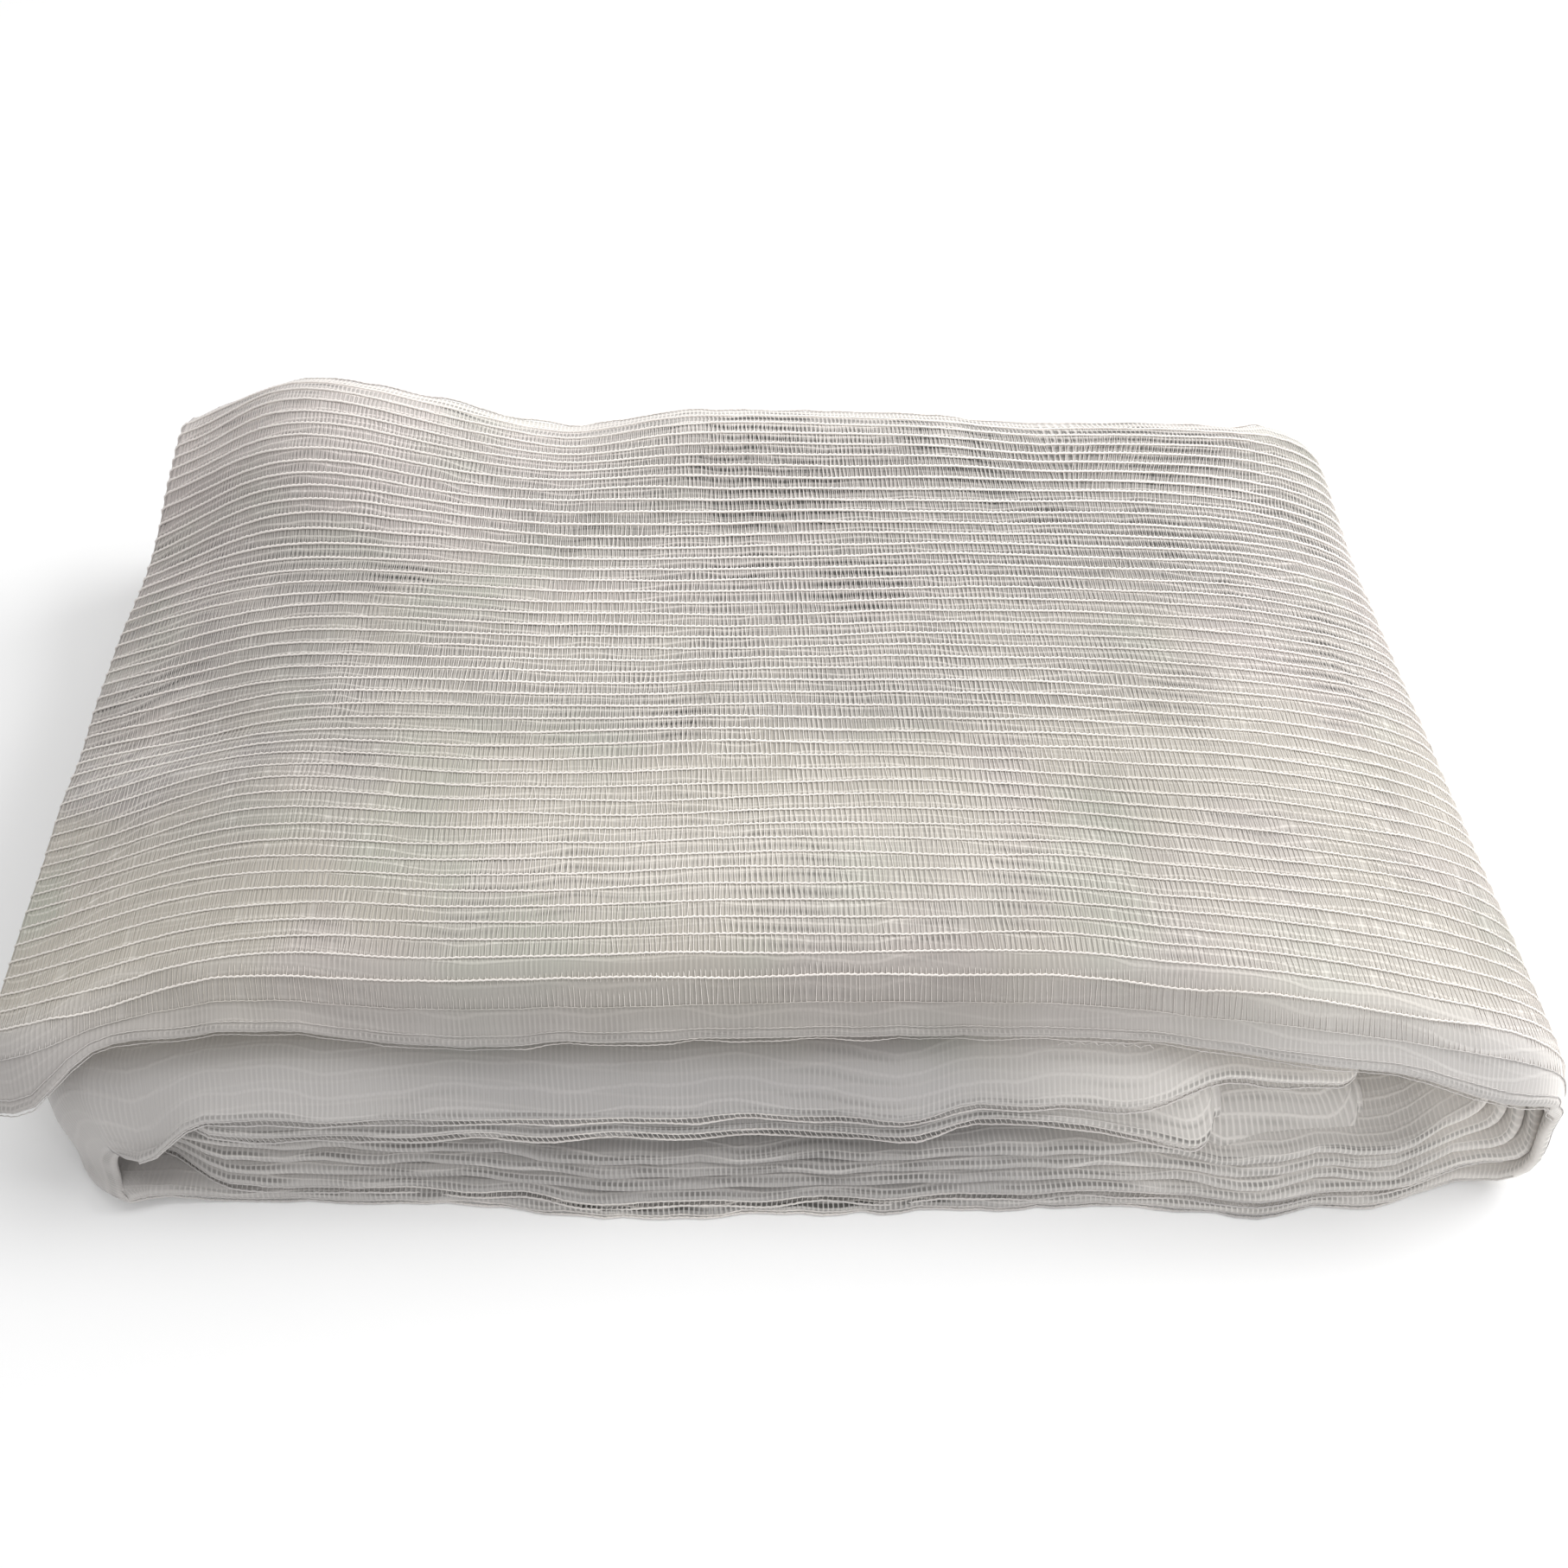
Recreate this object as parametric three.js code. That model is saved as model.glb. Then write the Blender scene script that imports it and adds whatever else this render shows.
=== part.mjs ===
// Debris netting, folded into a flat pack.
//
// One long strip of fine ribbed net lies folded back and forth in five plies. The five plies
// together are folded in three: the top third goes round the right-hand end to the bottom third,
// and the bottom third goes round the left-hand end to the middle third, which is tucked inside.
// The strip stays one solid sheet from its first free end to its last.
//
// Millimetres, +Z up. X runs along the ribs, from left to right. Y runs from the front edges of the
// plies to the back ones. The origin is the middle of the footprint, on the surface it lies on.

import * as THREE from "three";

// Sizes of the sheet and of the pack.
const SHEET_THICKNESS = 3;
const PLIES = 5;
const CROWN_HEIGHT = 92;
const RIGHT_END = 315.5;
const LEAN = { from: -170, over: 370, shift: -18.5, narrowing: -2.5, halfWidth: 310 };

// Middle of the footprint, in the frame in which the tables below are given.
const FOOTPRINT_MIDDLE = { x: -5.5, y: 5.5 };

// The three thirds of the pack, as places of their plies in the stack, counted from the floor.
const TOP_OF_BOTTOM_THIRD = PLIES - 1;
const TOP_OF_MIDDLE_THIRD = 2 * PLIES - 1;
const TOP_OF_STACK = 3 * PLIES - 1;

// The right-hand fold: a long shoulder above, a short turn below, one ply inside another.
const RIGHT_FOLD = { shoulderFrom: 150, turnFrom: 256, middleHeight: 36, plyStep: 6.3, shoulder: 0.9, turn: 0.6 };
const SHOULDER_ANGLES = [30, 50, 66, 78, 90];
const TURN_ANGLES = [60, 30];

// The left-hand fold, from the bottom third to the middle third.
const LEFT_FOLD = { tip: -300, straightFrom: -260, plyStep: 5.4, slenderness: 1.27, leastReach: 3.2, reach: 34 };
const LEFT_FOLD_ANGLES = [30, 60, 90, 120, 150];

// Where the plies stop: at the left in the top third, at the right in the middle third.
// A turn joins two neighbouring plies; the others are the strip's two free ends.
const TOP_THIRD_ENDS = [-306, -306, -300, -300, -297];
const MIDDLE_THIRD_ENDS = [231, 166, 166, 222, 222];
const END_TURN_ANGLES = [45, 90, 135];

// Places across the pack where a ply is given a height.
const TOP_THIRD_PLACES = [150, 80, 15, -45, -105, -160, -205, -240, -262, -278, -290];
const BOTTOM_THIRD_PLACES = [-260, -205, -160, -105, -45, 15, 80, 130, 166, 188, 222, 256];
const MIDDLE_THIRD_PLACES = [-260, -205, -160, -105, -45, 15, 80, 130, 166, 200];
const END_CLEARANCE = 12;

// Rows along the depth: some follow the front edge or the back edge, those between have a place of their own.
const BEHIND_FRONT = [0, 8, 18, 30];
const MIDDLE_ROWS = [-92, -48, -4, 50, 105, 152];
const BEFORE_BACK = [15, 0];

// Front edges of the outermost ply of each third: the pack steps forward towards the floor.
const FRONT_EDGES = [
  { x: -309, top: -167, middle: -162, bottom: -178 },
  { x: -298, top: -174, middle: -163, bottom: -184 },
  { x: -287, top: -171, middle: -165, bottom: -192 },
  { x: -278, top: -160, middle: -168, bottom: -192 },
  { x: -262, top: -149, middle: -173, bottom: -186 },
  { x: -190, top: -146, middle: -173, bottom: -187 },
  { x: -130, top: -151, middle: -172, bottom: -188 },
  { x: -70, top: -149, middle: -172, bottom: -194 },
  { x: 0, top: -147, middle: -170, bottom: -192 },
  { x: 50, top: -146, middle: -173, bottom: -191 },
  { x: 80, top: -146, middle: -165, bottom: -190 },
  { x: 110, top: -147, middle: -166, bottom: -189 },
  { x: 150, top: -149, middle: -174, bottom: -189 },
  { x: 168, top: -152, middle: -180, bottom: -190 },
  { x: 186, top: -156, middle: -173, bottom: -195 },
  { x: 206, top: -158, middle: -178, bottom: -192 },
  { x: 224, top: -159, middle: -174, bottom: -186 },
  { x: 240, top: -161, middle: -170, bottom: -192 },
  { x: 256, top: -165, middle: -168, bottom: -185 },
  { x: 286, top: -171, middle: -168, bottom: -177 },
  { x: 306, top: -166, middle: -165, bottom: -183 },
];

// Back edges of the same plies.
const BACK_EDGES = [
  { x: -309, top: 199, middle: 192, bottom: 190 },
  { x: -290, top: 206, middle: 196, bottom: 194 },
  { x: -240, top: 205, middle: 200, bottom: 197 },
  { x: -160, top: 204, middle: 195, bottom: 200 },
  { x: -105, top: 201, middle: 200, bottom: 195 },
  { x: -40, top: 203, middle: 195, bottom: 199 },
  { x: 60, top: 200, middle: 198, bottom: 192 },
  { x: 150, top: 197, middle: 190, bottom: 196 },
  { x: 230, top: 199, middle: 194, bottom: 193 },
  { x: 285, top: 202, middle: 192, bottom: 196 },
  { x: 314, top: 196, middle: 192, bottom: 193 },
];

// How far the front and back edge of each ply stand behind the edges above, from the outermost ply in.
const SET_BACK = {
  top: { front: [0, 10, 12, 11, 12], back: [0, 7, 6, 9, 7] },
  middle: { front: [8, 0, 1.5, 14, 14], back: [3, 0, 5, 2, 6] },
  bottom: { front: [0, 3.5, 7, 10.5, 14], back: [0, 4, 1, 6, 3] },
};

// Humps and hollows of the top surface.
const HUMPS = [
  { name: "hump at the back left", x: -228, y: 182, rise: 25, wide: 66, deep: 72 },
  { name: "dip beside it", x: -92, y: 196, rise: -8, wide: 38, deep: 42 },
  { name: "back ridge", x: 50, y: 178, rise: 5, wide: 130, deep: 48 },
  { name: "hollow in the middle", x: -40, y: 75, rise: -7, wide: 115, deep: 62 },
  { name: "front ridge", x: 10, y: -94, rise: 3, wide: 170, deep: 34 },
  { name: "dent in the left side", x: -255, y: -4, rise: -6, wide: 44, deep: 20 },
  { name: "swell in front of it", x: -212, y: -52, rise: 4, wide: 52, deep: 28 },
];

// How far the topmost ply bends down at its front edge, and how far the plies of the other two thirds do,
// counted from the floor up.
const TOP_LIP = [
  { x: -309, droop: 15 },
  { x: -290, droop: 17 },
  { x: -276, droop: 10 },
  { x: -262, droop: 9 },
  { x: -225, droop: 13 },
  { x: -160, droop: 19 },
  { x: -100, droop: 20 },
];
const LOWER_LIPS = [0, 1.5, 3, 4.5, 6, 8.5, 11.5, 16.2, 18, 13];
const DROOP_REACH = { top: 24, middle: 28, bottom: 28 };
const BACK_DROOP = 5;
const BACK_DROOP_REACH = 16;
const LEFT_CORNER = { from: -262, to: -290, setBack: 1.5 };
const LEFT_FADE = { from: -200, to: -260, share: 0.45 };

// How the stack falls away at its two sides.
const TOP_LEFT_FALL = { from: -160, to: -306, drop: 24, power: 2.2 };
const MIDDLE_LEFT_FALL = { from: -190, to: -306, drop: 14, power: 1.6 };
const OVERHANG_FALL = { from: -284, to: -306, drop: 12 };
const MIDDLE_RIGHT_FALL = { from: 105, to: 231, drop: 8.5, power: 2 };

// The top third lies a little looser on the middle third than its own plies on each other, in plies.
const LOOSER = 0.25;

const HALF_SHEET = SHEET_THICKNESS / 2;
const radians = THREE.MathUtils.degToRad;

function smooth(value) {
  return THREE.MathUtils.smoothstep(value, 0, 1);
}

function towards({ from, to }, x) {
  return smooth((x - from) / (to - from));
}

// Part of a fall that is reached at x, growing from one place to another.
function fall(x, { from, to, drop, power }) {
  const share = THREE.MathUtils.clamp((x - from) / (to - from), 0, 1);
  return drop * share ** power;
}

// Smooth interpolation of one column of a table with a row for each place across the pack.
function edgeAt(table, column, x) {
  if (x <= table[0].x) return table[0][column];
  const above = table.findIndex((row) => row.x > x);
  if (above < 0) return table[table.length - 1][column];
  const [a, b] = [table[above - 1], table[above]];
  return THREE.MathUtils.lerp(a[column], b[column], smooth((x - a.x) / (b.x - a.x)));
}

// The pack leans a little to the left towards its back, and is narrower there.
function leanAt(x, y) {
  const { from, over, shift, narrowing, halfWidth } = LEAN;
  return ((shift + (narrowing * x) / halfWidth) * (y - from)) / over;
}

// Height of the middle of the topmost ply, before its sides fall away.
function crownAt(x, y) {
  const humps = HUMPS.map(({ x: hx, y: hy, rise, wide, deep }) =>
    rise * Math.exp(-(((x - hx) / wide) ** 2) - ((y - hy) / deep) ** 2));
  return CROWN_HEIGHT - HALF_SHEET + humps.reduce((sum, rise) => sum + rise, 0);
}

function thirdOf(place) {
  if (place > TOP_OF_MIDDLE_THIRD) return "top";
  return place > TOP_OF_BOTTOM_THIRD ? "middle" : "bottom";
}

// How far a ply bends down at its front and back edges.
function droopAt(place, edgeX, y) {
  const third = thirdOf(place);
  const column = third === "top" ? "top" : "middle";
  const front = edgeAt(FRONT_EDGES, column, edgeX);
  const forward = smooth((front + DROOP_REACH[third] - y) / DROOP_REACH[third]);
  const back = edgeAt(BACK_EDGES, "top", edgeX);
  const behind = smooth((y - back + BACK_DROOP_REACH) / BACK_DROOP_REACH);
  const share = Math.max(0, (place - TOP_OF_MIDDLE_THIRD) / PLIES);
  const drop = third === "top"
    ? edgeAt(TOP_LIP, "droop", edgeX) * THREE.MathUtils.lerp(share, 1, towards(LEFT_CORNER, edgeX))
    : LOWER_LIPS[place] * THREE.MathUtils.lerp(1, LEFT_FADE.share, towards(LEFT_FADE, edgeX));
  return drop * forward + BACK_DROOP * share * behind;
}

// Height of the middle of a ply, from its place in the stack, before it droops.
function levelAt(place, x, y) {
  const crown = crownAt(x, y);
  const even = (n) => HALF_SHEET + (n * (crown - HALF_SHEET)) / TOP_OF_STACK;
  const middleFall = (n) => {
    const share = Math.max(0, (n - TOP_OF_BOTTOM_THIRD) / PLIES);
    return share * (fall(x, MIDDLE_LEFT_FALL) + fall(x, MIDDLE_RIGHT_FALL));
  };
  if (place <= TOP_OF_MIDDLE_THIRD) return even(place) - middleFall(place);
  const overhang = OVERHANG_FALL.drop * towards(OVERHANG_FALL, x);
  const under = even(TOP_OF_MIDDLE_THIRD) - fall(x, MIDDLE_LEFT_FALL) - overhang;
  const over = crown - fall(x, TOP_LEFT_FALL);
  return THREE.MathUtils.lerp(under, over, (place - TOP_OF_MIDDLE_THIRD + LOOSER) / (PLIES + LOOSER));
}

function heightAt(place, x, y) {
  return levelAt(place, x, y) - droopAt(place, x, y);
}

// Places in the stack of one ply, where 0 is the outermost ply of every fold.
const inTop = (ply) => TOP_OF_STACK - ply;
const inMiddle = (ply) => TOP_OF_MIDDLE_THIRD - ply;
const inBottom = (ply) => ply;

function frontOf(third, ply, x) {
  const corner = third === "top" ? THREE.MathUtils.lerp(1, LEFT_CORNER.setBack, towards(LEFT_CORNER, x)) : 1;
  return edgeAt(FRONT_EDGES, third, x) + SET_BACK[third].front[ply] * corner;
}

function backOf(third, ply, x) {
  return edgeAt(BACK_EDGES, third, x) - SET_BACK[third].back[ply];
}

// A station is one point of the folded section: a front and a back edge, and a place for every y.
function flatStation(third, ply, x) {
  const place = { top: inTop, middle: inMiddle, bottom: inBottom }[third](ply);
  return {
    front: frontOf(third, ply, x),
    back: backOf(third, ply, x),
    at: (y) => [x, heightAt(place, x, y)],
  };
}

// The shoulder and the turn of the right-hand fold, from the bottom third up to the top third.
function rightFold(ply) {
  const { shoulderFrom, turnFrom, middleHeight, plyStep } = RIGHT_FOLD;
  const rounded = (value, fullness) => Math.max(0, value) ** fullness;
  const tip = RIGHT_END - HALF_SHEET - ply * plyStep;
  const turn = [...TURN_ANGLES].reverse().map((angle) => {
    const reach = rounded(Math.sin(radians(angle)), RIGHT_FOLD.turn);
    const rise = rounded(Math.cos(radians(angle)), RIGHT_FOLD.turn);
    const x = turnFrom + (tip - turnFrom) * reach;
    const share = (angle / 90) ** 4;
    return {
      front: THREE.MathUtils.lerp(frontOf("bottom", ply, x), frontOf("top", ply, RIGHT_END), share),
      back: THREE.MathUtils.lerp(backOf("bottom", ply, x), backOf("top", ply, RIGHT_END), share),
      at: (y) => [x, middleHeight - (middleHeight - heightAt(inBottom(ply), turnFrom, y)) * rise],
    };
  });
  const shoulder = [...SHOULDER_ANGLES].reverse().map((angle) => {
    const reach = rounded(Math.sin(radians(angle)), RIGHT_FOLD.shoulder);
    const rise = rounded(Math.cos(radians(angle)), RIGHT_FOLD.shoulder);
    const x = shoulderFrom + (tip - shoulderFrom) * reach;
    const height = (y) => levelAt(inTop(ply), shoulderFrom, y) - droopAt(inTop(ply), x, y);
    return {
      front: frontOf("top", ply, x),
      back: backOf("top", ply, x),
      at: (y) => [x, middleHeight + (height(y) - middleHeight) * rise],
    };
  });
  return [...turn, ...shoulder];
}

// The left-hand fold, from the middle third down to the bottom third.
function leftFold(ply) {
  const { tip, straightFrom, plyStep, slenderness, leastReach, reach: longest } = LEFT_FOLD;
  const end = tip + ply * plyStep;
  return [...LEFT_FOLD_ANGLES].reverse().map((angle) => {
    const edgeX = end + longest * (1 - ply / PLIES) * (1 - Math.sin(radians(angle)));
    const share = smooth(angle / 180);
    return {
      front: THREE.MathUtils.lerp(frontOf("bottom", ply, edgeX), frontOf("middle", ply, edgeX), share),
      back: THREE.MathUtils.lerp(backOf("bottom", ply, edgeX), backOf("middle", ply, edgeX), share),
      at: (y) => {
        const low = heightAt(inBottom(ply), straightFrom, y);
        const high = heightAt(inMiddle(ply), straightFrom, y);
        const half = (high - low) / 2;
        const reach = Math.max(leastReach, half * slenderness);
        return [end + reach * (1 - Math.sin(radians(angle))), (low + high) / 2 - half * Math.cos(radians(angle))];
      },
    };
  });
}

// A tight turn that joins the ends of two neighbouring plies.
function endTurn(third, ply, x, way) {
  const [first, second] = [flatStation(third, ply, x), flatStation(third, ply + 1, x)];
  return END_TURN_ANGLES.map((angle) => ({
    front: THREE.MathUtils.lerp(first.front, second.front, smooth(angle / 180)),
    back: THREE.MathUtils.lerp(first.back, second.back, smooth(angle / 180)),
    at: (y) => {
      const [a, b] = [first.at(y)[1], second.at(y)[1]];
      const half = (a - b) / 2;
      return [x + way * Math.abs(half) * Math.sin(radians(angle)), (a + b) / 2 + half * Math.cos(radians(angle))];
    },
  }));
}

// One ply, from its end in the middle third to its end in the top third.
function plyRun(ply) {
  const clear = MIDDLE_THIRD_PLACES.filter((x) => x < MIDDLE_THIRD_ENDS[ply] - END_CLEARANCE);
  const middle = [MIDDLE_THIRD_ENDS[ply], ...clear.reverse()];
  return [
    ...middle.map((x) => flatStation("middle", ply, x)),
    ...leftFold(ply),
    ...BOTTOM_THIRD_PLACES.map((x) => flatStation("bottom", ply, x)),
    ...rightFold(ply),
    ...[...TOP_THIRD_PLACES, TOP_THIRD_ENDS[ply]].map((x) => flatStation("top", ply, x)),
  ];
}

// The whole section: the plies joined end to end, every other one walked backwards.
function foldedSection() {
  const stations = [];
  for (let ply = 0; ply < PLIES; ply += 1) {
    const towardsTop = ply % 2 === 0;
    const run = plyRun(ply);
    stations.push(...(towardsTop ? run : run.reverse()));
    if (ply === PLIES - 1) continue;
    if (towardsTop) stations.push(...endTurn("top", ply, TOP_THIRD_ENDS[ply], -1));
    else stations.push(...endTurn("middle", ply, MIDDLE_THIRD_ENDS[ply], 1));
  }
  return stations;
}

// Sideways direction of the section at one station, square to its run in the plane of y.
function sideways(stations, i, y) {
  const [ax, az] = stations[Math.max(0, i - 1)].at(y);
  const [bx, bz] = stations[Math.min(stations.length - 1, i + 1)].at(y);
  const length = Math.hypot(bx - ax, bz - az);
  return [-(bz - az) / length, (bx - ax) / length];
}

function rowsOf({ front, back }) {
  return [...BEHIND_FRONT.map((step) => front + step), ...MIDDLE_ROWS, ...BEFORE_BACK.map((step) => back - step)];
}

// Gives the section its depth and thickness, and closes it into one body.
function sheetGeometry(stations) {
  const rows = BEHIND_FRONT.length + MIDDLE_ROWS.length + BEFORE_BACK.length;
  const positions = [];
  for (const side of [HALF_SHEET, -HALF_SHEET]) {
    stations.forEach((station, i) => {
      for (const y of rowsOf(station)) {
        const [x, z] = station.at(y);
        const [nx, nz] = sideways(stations, i, y);
        positions.push(x + leanAt(x, y) + nx * side - FOOTPRINT_MIDDLE.x, y - FOOTPRINT_MIDDLE.y, z + nz * side);
      }
    });
  }
  const vertex = (layer, i, j) => layer * stations.length * rows + i * rows + j;
  const indices = [];
  const quad = (a, b, c, d) => indices.push(a, b, c, a, c, d);
  const [last, lastRow] = [stations.length - 1, rows - 1];
  for (let i = 0; i < last; i += 1) {
    for (let j = 0; j < lastRow; j += 1) {
      quad(vertex(0, i, j), vertex(0, i + 1, j), vertex(0, i + 1, j + 1), vertex(0, i, j + 1));
      quad(vertex(1, i, j), vertex(1, i, j + 1), vertex(1, i + 1, j + 1), vertex(1, i + 1, j));
    }
    quad(vertex(0, i, 0), vertex(1, i, 0), vertex(1, i + 1, 0), vertex(0, i + 1, 0));
    quad(vertex(0, i, lastRow), vertex(0, i + 1, lastRow), vertex(1, i + 1, lastRow), vertex(1, i, lastRow));
  }
  for (let j = 0; j < lastRow; j += 1) {
    quad(vertex(0, 0, j), vertex(0, 0, j + 1), vertex(1, 0, j + 1), vertex(1, 0, j));
    quad(vertex(0, last, j), vertex(1, last, j), vertex(1, last, j + 1), vertex(0, last, j + 1));
  }
  const geometry = new THREE.BufferGeometry();
  geometry.setAttribute("position", new THREE.Float32BufferAttribute(positions, 3));
  geometry.setIndex(indices);
  geometry.computeVertexNormals();
  return geometry;
}

const whiteNet = new THREE.MeshStandardMaterial({
  name: "white_net",
  color: 0xe4e2dd,
  roughness: 0.75,
  metalness: 0,
});

const netting = new THREE.Mesh(sheetGeometry(foldedSection()), whiteNet);
netting.name = "folded_net";

const pack = new THREE.Group();
pack.name = "debris_netting";
pack.add(netting);

export default pack;
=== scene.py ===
"""Fine white ribbed debris netting, folded back and forth and then in three to a flat pack.

The netting is one long strip of cloth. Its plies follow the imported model's folded section. The raised
ribs, the cross threads between them and the open rows along the edges of the plies are pieces of their
own that lie on the cloth. Metres, +Z up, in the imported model's frame.
"""

import math
from functools import lru_cache

import bpy
import numpy as np
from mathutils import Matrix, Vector


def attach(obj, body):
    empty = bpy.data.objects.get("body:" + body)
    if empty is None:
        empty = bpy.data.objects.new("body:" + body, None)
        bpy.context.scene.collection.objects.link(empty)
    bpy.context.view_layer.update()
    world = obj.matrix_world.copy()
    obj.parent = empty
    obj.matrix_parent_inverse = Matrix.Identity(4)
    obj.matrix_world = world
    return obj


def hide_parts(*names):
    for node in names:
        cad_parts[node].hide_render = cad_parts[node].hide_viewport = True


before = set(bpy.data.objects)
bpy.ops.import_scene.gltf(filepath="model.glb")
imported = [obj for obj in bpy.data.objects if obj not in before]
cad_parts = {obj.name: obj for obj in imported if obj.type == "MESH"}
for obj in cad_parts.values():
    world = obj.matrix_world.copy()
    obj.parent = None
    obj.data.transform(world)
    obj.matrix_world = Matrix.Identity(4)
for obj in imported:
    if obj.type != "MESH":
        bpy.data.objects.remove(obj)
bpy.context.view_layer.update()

bl_info = {
    "name": "Folded debris netting",
    "version": (1, 0, 0),
    "blender": (4, 5, 0),
    "location": "View3D > Sidebar > Netting",
    "description": "Makes a folded pack of ribbed debris netting around its packed model",
    "category": "Add Mesh",
}

MM = 0.001

# Sizes of the sheet and of the pack, in millimetres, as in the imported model.
SHEET_THICKNESS = 3.0
PLIES = 5
CROWN_HEIGHT = 92.0
RIGHT_END = 315.5
LEAN = {"from": -170, "over": 370, "shift": -18.5, "narrowing": -2.5, "half_width": 310}
FOOTPRINT_MIDDLE = (-5.5, 5.5)
TOP_OF_BOTTOM_THIRD = PLIES - 1
TOP_OF_MIDDLE_THIRD = 2 * PLIES - 1
TOP_OF_STACK = 3 * PLIES - 1
SHOULDER_FROM, TURN_FROM, FOLD_MIDDLE, RIGHT_STEP = 150, 256, 36, 6.3
SHOULDER_POWER, TURN_POWER = 0.9, 0.6
LEFT_TIP, LEFT_STRAIGHT, LEFT_STEP = -300, -260, 5.4
LEFT_SLENDERNESS, LEFT_LEAST_REACH, LEFT_REACH = 1.27, 3.2, 34
TOP_THIRD_ENDS = (-306, -306, -300, -300, -297)
MIDDLE_THIRD_ENDS = (231, 166, 166, 222, 222)
FLAT_SIZE = (0.36, 8.7)

# Edges of the outermost ply of each third: place across the pack, then top, middle and bottom third.
FRONT_EDGES = (
    (-309, -167, -162, -178), (-298, -174, -163, -184), (-287, -171, -165, -192), (-278, -160, -168, -192),
    (-262, -149, -173, -186), (-190, -146, -173, -187), (-130, -151, -172, -188), (-70, -149, -172, -194),
    (0, -147, -170, -192), (50, -146, -173, -191), (80, -146, -165, -190), (110, -147, -166, -189),
    (150, -149, -174, -189), (168, -152, -180, -190), (186, -156, -173, -195), (206, -158, -178, -192),
    (224, -159, -174, -186), (240, -161, -170, -192), (256, -165, -168, -185), (286, -171, -168, -177),
    (306, -166, -165, -183),
)
BACK_EDGES = (
    (-309, 205, 192, 190), (-290, 209, 196, 194), (-240, 205, 200, 197), (-160, 204, 195, 200),
    (-105, 201, 200, 195), (-40, 203, 195, 199), (60, 200, 198, 192), (150, 197, 190, 196),
    (230, 199, 194, 193), (285, 208, 192, 196), (314, 205, 192, 193),
)
SET_BACK = {
    "top": ((0, 10, 12, 11, 12), (0, 7, 6, 9, 7)),
    "middle": ((8, 0, 1.5, 14, 14), (3, 0, 5, 2, 6)),
    "bottom": ((0, 3.5, 7, 10.5, 14), (0, 4, 1, 6, 3)),
}
THIRDS = ("top", "middle", "bottom")

# Humps and hollows of the top: place, depth, rise, and how wide and deep they spread.
HUMPS = (
    (-228, 182, 25, 66, 72), (-92, 196, -8, 38, 42), (50, 178, 5, 130, 48), (-40, 75, -7, 115, 62),
    (10, -94, 3, 170, 34), (150, 190, -4, 60, 34), (-255, -4, -6, 44, 20), (-212, -52, 4, 52, 28),
)

# Creases: middle, direction in degrees, half length, half width, rise.
CREASES = (
    (-236, -26, 8, 62, 12, 2.2), (-262, 34, -14, 40, 14, -1.8), (-170, 120, 4, 90, 18, 1.2),
    (-60, 24, -3, 140, 16, -1.1), (40, 118, -2, 130, 18, -1.3), (70, -52, 2, 140, 14, 0.9),
    (150, 40, -5, 110, 18, -1.0), (196, -96, 6, 80, 14, 1.1), (-120, -84, -4, 90, 13, -0.9),
    (232, 96, -8, 70, 18, 0.9), (-214, 92, 16, 60, 16, -1.3), (120, 168, 3, 80, 13, 0.9),
)

# Droop of the front lips: of the topmost ply from left to right, and of the other plies from the floor up.
TOP_LIP = ((-309, 15), (-290, 17), (-276, 10), (-262, 9), (-225, 13), (-160, 19), (-100, 20))
LOWER_LIPS = (0, 1.5, 3, 4.5, 6, 8.5, 11.5, 16.2, 18, 13)
DROOP_REACH = {"top": 24, "middle": 28, "bottom": 28}
BACK_DROOP, BACK_DROOP_REACH = 5, 16
LEFT_CORNER, CORNER_SET_BACK = (-262, -290), 1.5
LEFT_FADE, FADE_SHARE = (-200, -260), 0.45
TOP_LEFT_FALL = (-160, -306, 24, 2.2)
MIDDLE_LEFT_FALL = (-190, -306, 14, 1.6)
MIDDLE_RIGHT_FALL = (105, 231, 8.5, 2)
OVERHANG, OVERHANG_DROP = (-284, -306), 12
LOOSER = 0.25

# How finely the cloth is laid out.
PLACE_STEP = 8.0
END_STEPS = (10, 6.5, 3.5, 1.6, 0.5, 0)
EVEN_FROM_END = 16
EDGE_SMOOTHING = (-12, -6, 0, 6, 12)
FRONT_ROWS = (0, 0.25, 0.8, 1.7, 3.0, 5, 8, 12, 17, 23, 30)
MIDDLE_ROWS = tuple(np.linspace(-92, 152, 21))
BACK_ROWS = (22, 14, 8, 4, 1.8, 0.6, 0)

# Half thickness of the soft rolled edge of each ply, counted from the floor up.
EDGE_ROLLS = (2.6, 2.9, 2.8, 2.9, 2.8, 2.3, 2.1, 1.9, 2.0, 1.8, 2.2, 2.2, 2.2, 2.1, 1.4)
FOLD_ROLLS = {"left": 2.5, "turn": 2.9, "shoulder": 2.9, "end": 1.7, "outermost": 2.2}
NOSE_LENGTH, LEAST_HALF = 1.1, 0.12

# The outermost ply curls in over the ends of both folds at the front, and the others stand back behind it.
LEFT_CAP = {
    "depth": 26, "in": 27, "gather": 0.82, "bottom": 0.42, "height": 16, "span": (-226, -262), "behind": 21.5,
    "step": -3.9,
}
LEFT_EDGE_SHIFT = {"middle": -10.0, "bottom": 0.0}
RIGHT_CAP = {"depth": 18, "share": 0.14, "behind": -0.4, "step": 1.4, "rise": 55, "blend": 4, "back": 3}

# At the right the topmost ply of the middle third stands back and the lowest ones come forward.
RIGHT_STEP_BACK = {"span": (150, 178), "low": -11.0, "low_drop": 6.5}
TOP_OF_MIDDLE = {"span": (112, 182), "front": -157, "rise": 5.0, "cover": -5.0, "cover_drop": 3.5}

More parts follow.
